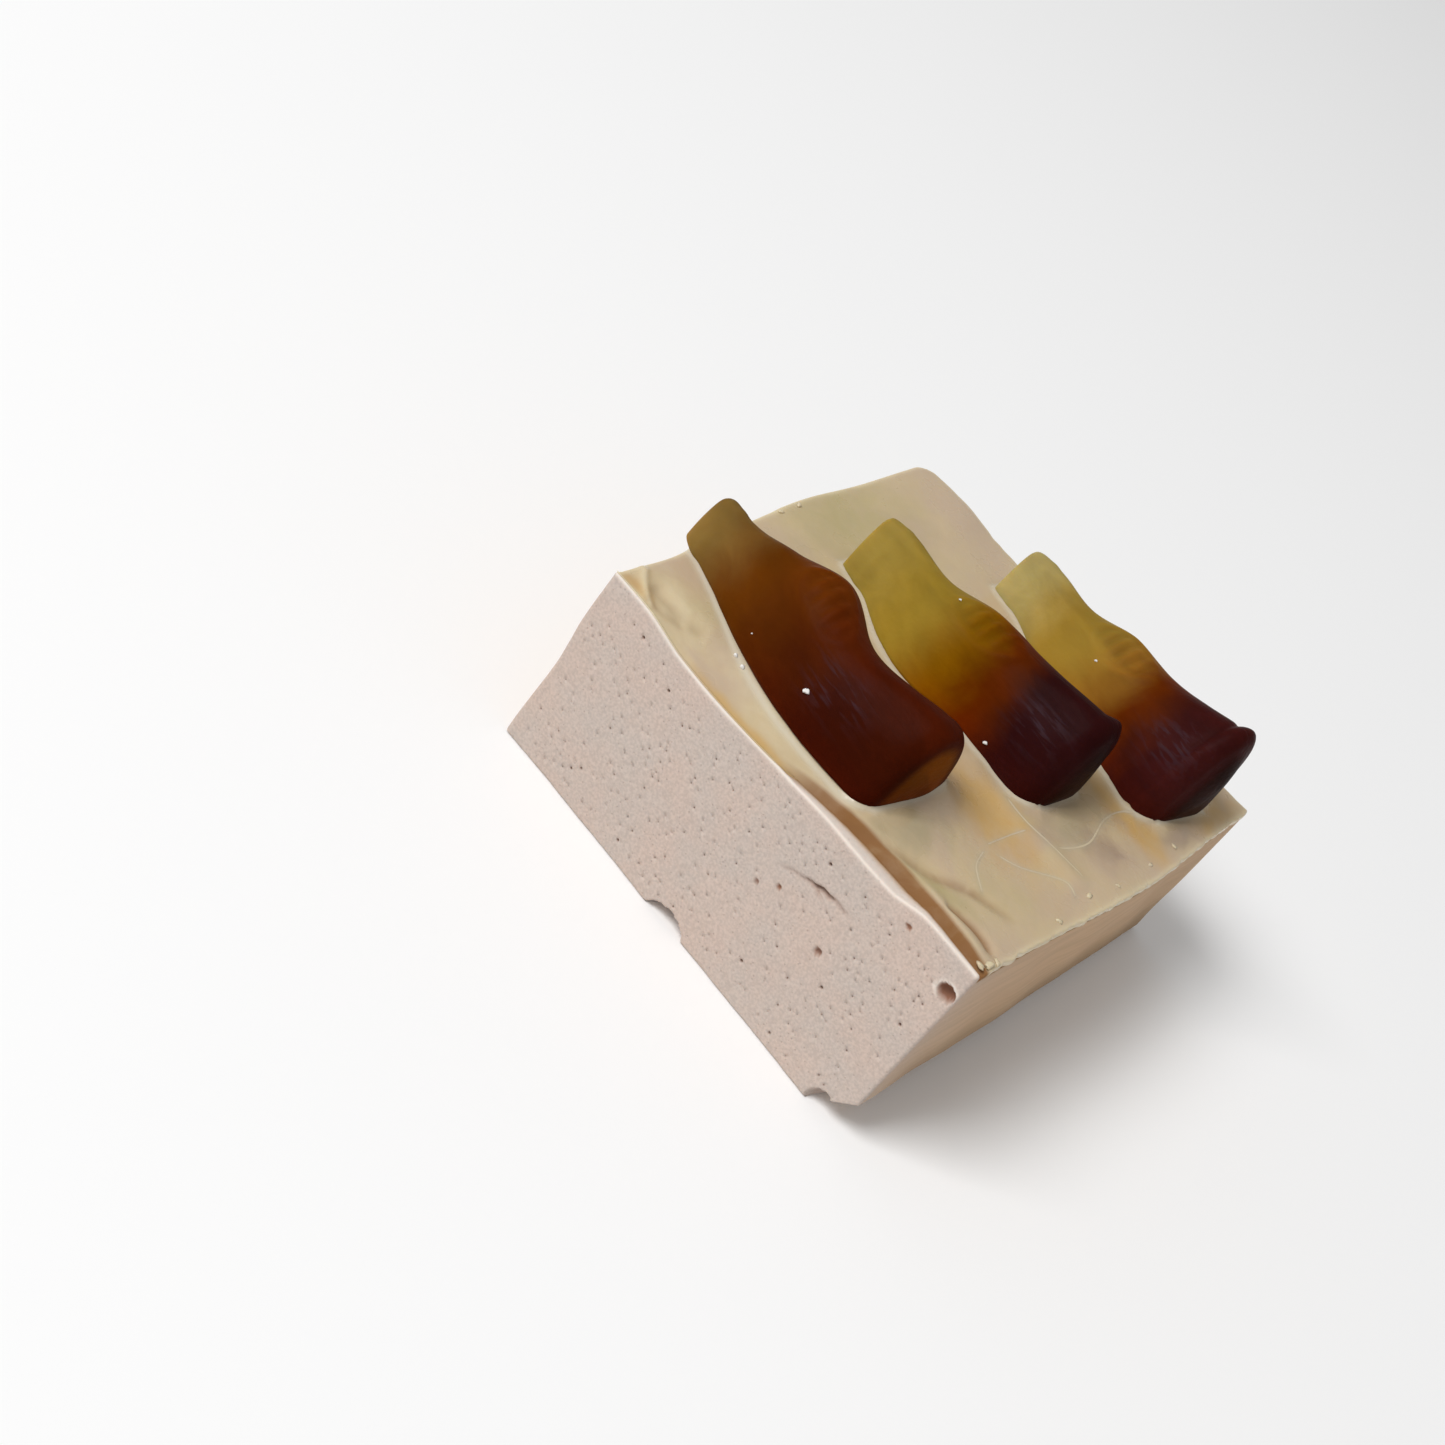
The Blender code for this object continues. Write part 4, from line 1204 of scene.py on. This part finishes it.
def gummy_material(name, settings, turn):
    material, tree, shader = new_material(name + " jelly")
    drift = times(tree, maths(tree, "SUBTRACT", clouds(tree, 7.0, 4.0, warp=0.8), 0.5), 0.14)
    share = maths(tree, "ADD", read_attribute(tree, "share"), drift)
    colour = blend(tree, remap(tree, share, 0.02, 0.3), settings.neck, settings.shoulder)
    for name, start, end in JELLY_STEPS:
        reached = remap(tree, share, settings.turn + start, settings.turn + end)
        colour = blend(tree, reached, colour, getattr(settings, name))
    colour = blend(tree, read_attribute(tree, "end"), colour, settings.end)
    # Painted light and shade: the jelly is made lighter or darker by the angle round it.
    shade = remap(tree, read_attribute(tree, "lit"), 0.0, 1.0, 0.8, 1.1)
    murk = remap(tree, clouds(tree, 4.0, 5.0, (2.5, 1.0, 1.0), 0.8, turn), 0.3, 0.7, 0.9, 1.1)
    shade = times(tree, shade, murk)
    colour = dimmed(tree, colour, shade)
    # Painted glow: the low part of the jelly is painted warmer and redder, as if lit through.
    glow = blend(tree, 1.0, colour, (1.2, 0.9, 0.6), "MULTIPLY")
    colour = blend(tree, read_attribute(tree, "low"), colour, glow)
    # Painted highlight: purple-grey streaks on the front side near the foot, where the soft light would
    # glint on the jelly.
    streaks = clouds(tree, 0.7, 4.0, (7.0, 1.0, 1.0), 0.3, turn)
    bloom = times(tree, read_attribute(tree, "bloom"), remap(tree, streaks, 0.48, 0.64, 0.05, 0.6))
    colour = blend(tree, bloom, colour, (0.055, 0.032, 0.042))
    tree.links.new(colour, shader.inputs["Base Color"])
    shader.inputs["Roughness"].default_value = 0.44
    shader.inputs["IOR"].default_value = 1.42
    shader.inputs["Specular IOR Level"].default_value = 0.022
    shader.inputs["Subsurface Weight"].default_value = 0.45
    shader.inputs["Subsurface Radius"].default_value = (1.0, 0.55, 0.15)
    shader.inputs["Subsurface Scale"].default_value = 0.003
    streaks = times(tree, streaks, remap(tree, read_attribute(tree, "share"), 0.5, 0.8, 0.15, 0.5))
    height = maths(tree, "ADD", times(tree, clouds(tree, 2.0, 3.0), 0.6), streaks)
    bump = node(tree, "ShaderNodeBump", {"Height": height, "Strength": 0.35, "Distance": 0.0005})
    tree.links.new(bump.outputs["Normal"], shader.inputs["Normal"])
    return material


class MARSHMALLOW_OT_gummies(bpy.types.Operator):
    """Builds the three gummy bottles"""
    bl_idname = "marshmallow.gummies"
    bl_label = "Gummy Bottles"
    bl_options = {"REGISTER", "UNDO"}

    def execute(self, context):
        specks = [add_crumb((x, y, float(icing_height(x, y)) + 0.3 * size), size, 3, SPECK_SHAPE)
                  for x, y, size in DOTS]
        for gummy in GUMMIES:
            name = gummy["name"]
            for share, angle, size in SPECKS[name]:
                spot = gummy_points(gummy, np.array([share]), np.array([angle]), np.ones(1))[0]
                specks.append(add_crumb(spot, size, 5, SPECK_SHAPE))
            settings = getattr(context.scene, "marshmallow_gummy_" + name)
            piece = shape_gummy(gummy)
            _, way, _, _ = gummy_axes(gummy)
            material = gummy_material(name, settings, math.atan2(way[1], way[0]))
            finish_piece(piece, material, ["gummy_" + name])
        sugar = specks.pop()
        sugar.name = "sugar_specks"
        sugar.data.name = sugar.name
        join_to(sugar, specks)
        material, _, shader = new_material("sugar")
        shader.inputs["Base Color"].default_value = (0.85, 0.83, 0.8, 1.0)
        shader.inputs["Roughness"].default_value = 0.3
        finish_piece(sugar, material)
        return {"FINISHED"}


# The stage

def add_light(name, at, size, power):
    """A square soft light at `at` metres that faces the slab."""
    bpy.ops.object.light_add(type="AREA", location=at)
    light = bpy.context.active_object
    light.name = name
    light.data.energy = power
    light.data.size = size
    light.rotation_euler = (Vector((0.0, 0.0, 0.015)) - Vector(at)).to_track_quat("-Z", "Y").to_euler()


class MARSHMALLOW_OT_stage(bpy.types.Operator):
    """Adds the plain floor, the soft light and the camera"""
    bl_idname = "marshmallow.stage"
    bl_label = "Stage"
    bl_options = {"REGISTER", "UNDO"}

    def execute(self, context):
        settings = context.scene.marshmallow_studio
        start_clean()
        bpy.ops.mesh.primitive_plane_add(size=8.0, location=(0.0, 0.0, -0.00005))
        floor = bpy.context.active_object
        floor.name = "floor"
        material, _, shader = new_material("plain floor")
        shader.inputs["Base Color"].default_value = opaque(settings.floor)
        shader.inputs["Roughness"].default_value = 0.9
        shader.inputs["Specular IOR Level"].default_value = 0.1
        floor.data.materials.append(material)
        add_light("key light", (-0.56, -0.82, 1.26), 0.7, settings.key)
        world = bpy.data.worlds.new("pale room")
        world.use_nodes = True
        sky = world.node_tree.nodes["Background"]
        sky.inputs["Color"].default_value = (1.0, 1.0, 1.0, 1.0)
        sky.inputs["Strength"].default_value = settings.room
        context.scene.world = world
        context.scene.view_settings.view_transform = "Standard"
        bpy.ops.object.camera_add(location=CAMERA_AT)
        camera = bpy.context.active_object
        camera.name = "camera"
        columns = [Vector(CAMERA_RIGHT), -Vector(CAMERA_DOWN), -Vector(CAMERA_FORWARD)]
        turn = Matrix(columns).transposed().to_4x4()
        camera.matrix_world = Matrix.Translation(CAMERA_AT) @ turn
        camera.data.lens = CAMERA_LENS
        camera.data.clip_start = 0.01
        context.scene.camera = camera
        return {"FINISHED"}


class MARSHMALLOW_PT_sidebar(bpy.types.Panel):
    """Lists the steps that build the slab"""
    bl_idname = "MARSHMALLOW_PT_sidebar"
    bl_label = "Marshmallow Slab"
    bl_space_type = "VIEW_3D"
    bl_region_type = "UI"
    bl_category = "Marshmallow"

    def draw(self, context):
        for operator in STEPS:
            self.layout.operator(operator.bl_idname)
        for name in GROUPS:
            settings = getattr(context.scene, name)
            box = self.layout.box()
            for key in settings.bl_rna.properties.keys():
                if key not in ("name", "rna_type"):
                    box.prop(settings, key)


STEPS = (MARSHMALLOW_OT_slab, MARSHMALLOW_OT_icing, MARSHMALLOW_OT_gummies, MARSHMALLOW_OT_stage)
GROUPS = {"marshmallow_slab": SlabSettings, "marshmallow_icing": IcingSettings,
          "marshmallow_gummy_front": GummySettings, "marshmallow_gummy_middle": GummySettings,
          "marshmallow_gummy_back": GummySettings, "marshmallow_studio": StudioSettings}
CLASSES = (SlabSettings, IcingSettings, GummySettings, StudioSettings, *STEPS, MARSHMALLOW_PT_sidebar)


def register():
    for cls in CLASSES:
        bpy.utils.register_class(cls)
    for name, group in GROUPS.items():
        setattr(bpy.types.Scene, name, bpy.props.PointerProperty(type=group))


def unregister():
    for name in GROUPS:
        delattr(bpy.types.Scene, name)
    for cls in reversed(CLASSES):
        bpy.utils.unregister_class(cls)


def set_gummy_colours(scene):
    """The front gummy is brown almost throughout; the back one starts paler than the middle one."""
    front = scene.marshmallow_gummy_front
    front.neck = (0.21, 0.125, 0.03)
    front.shoulder = (0.115, 0.03, 0.001)
    front.waist = (0.10, 0.021, 0.001)
    front.ember = (0.075, 0.012, 0.001)
    front.foot = (0.05, 0.006, 0.001)
    front.end = (0.15, 0.038, 0.001)
    front.turn = 0.5
    back = scene.marshmallow_gummy_back
    back.neck = (0.46, 0.37, 0.14)
    back.shoulder = (0.34, 0.21, 0.03)
    back.waist = (0.28, 0.125, 0.015)
    back.foot = (0.045, 0.007, 0.006)
    back.turn = 0.6


def main():
    register()
    set_gummy_colours(bpy.context.scene)
    bpy.ops.marshmallow.slab()
    bpy.ops.marshmallow.icing()
    bpy.ops.marshmallow.gummies()
    bpy.ops.marshmallow.stage()


if __name__ == "__main__":
    main()
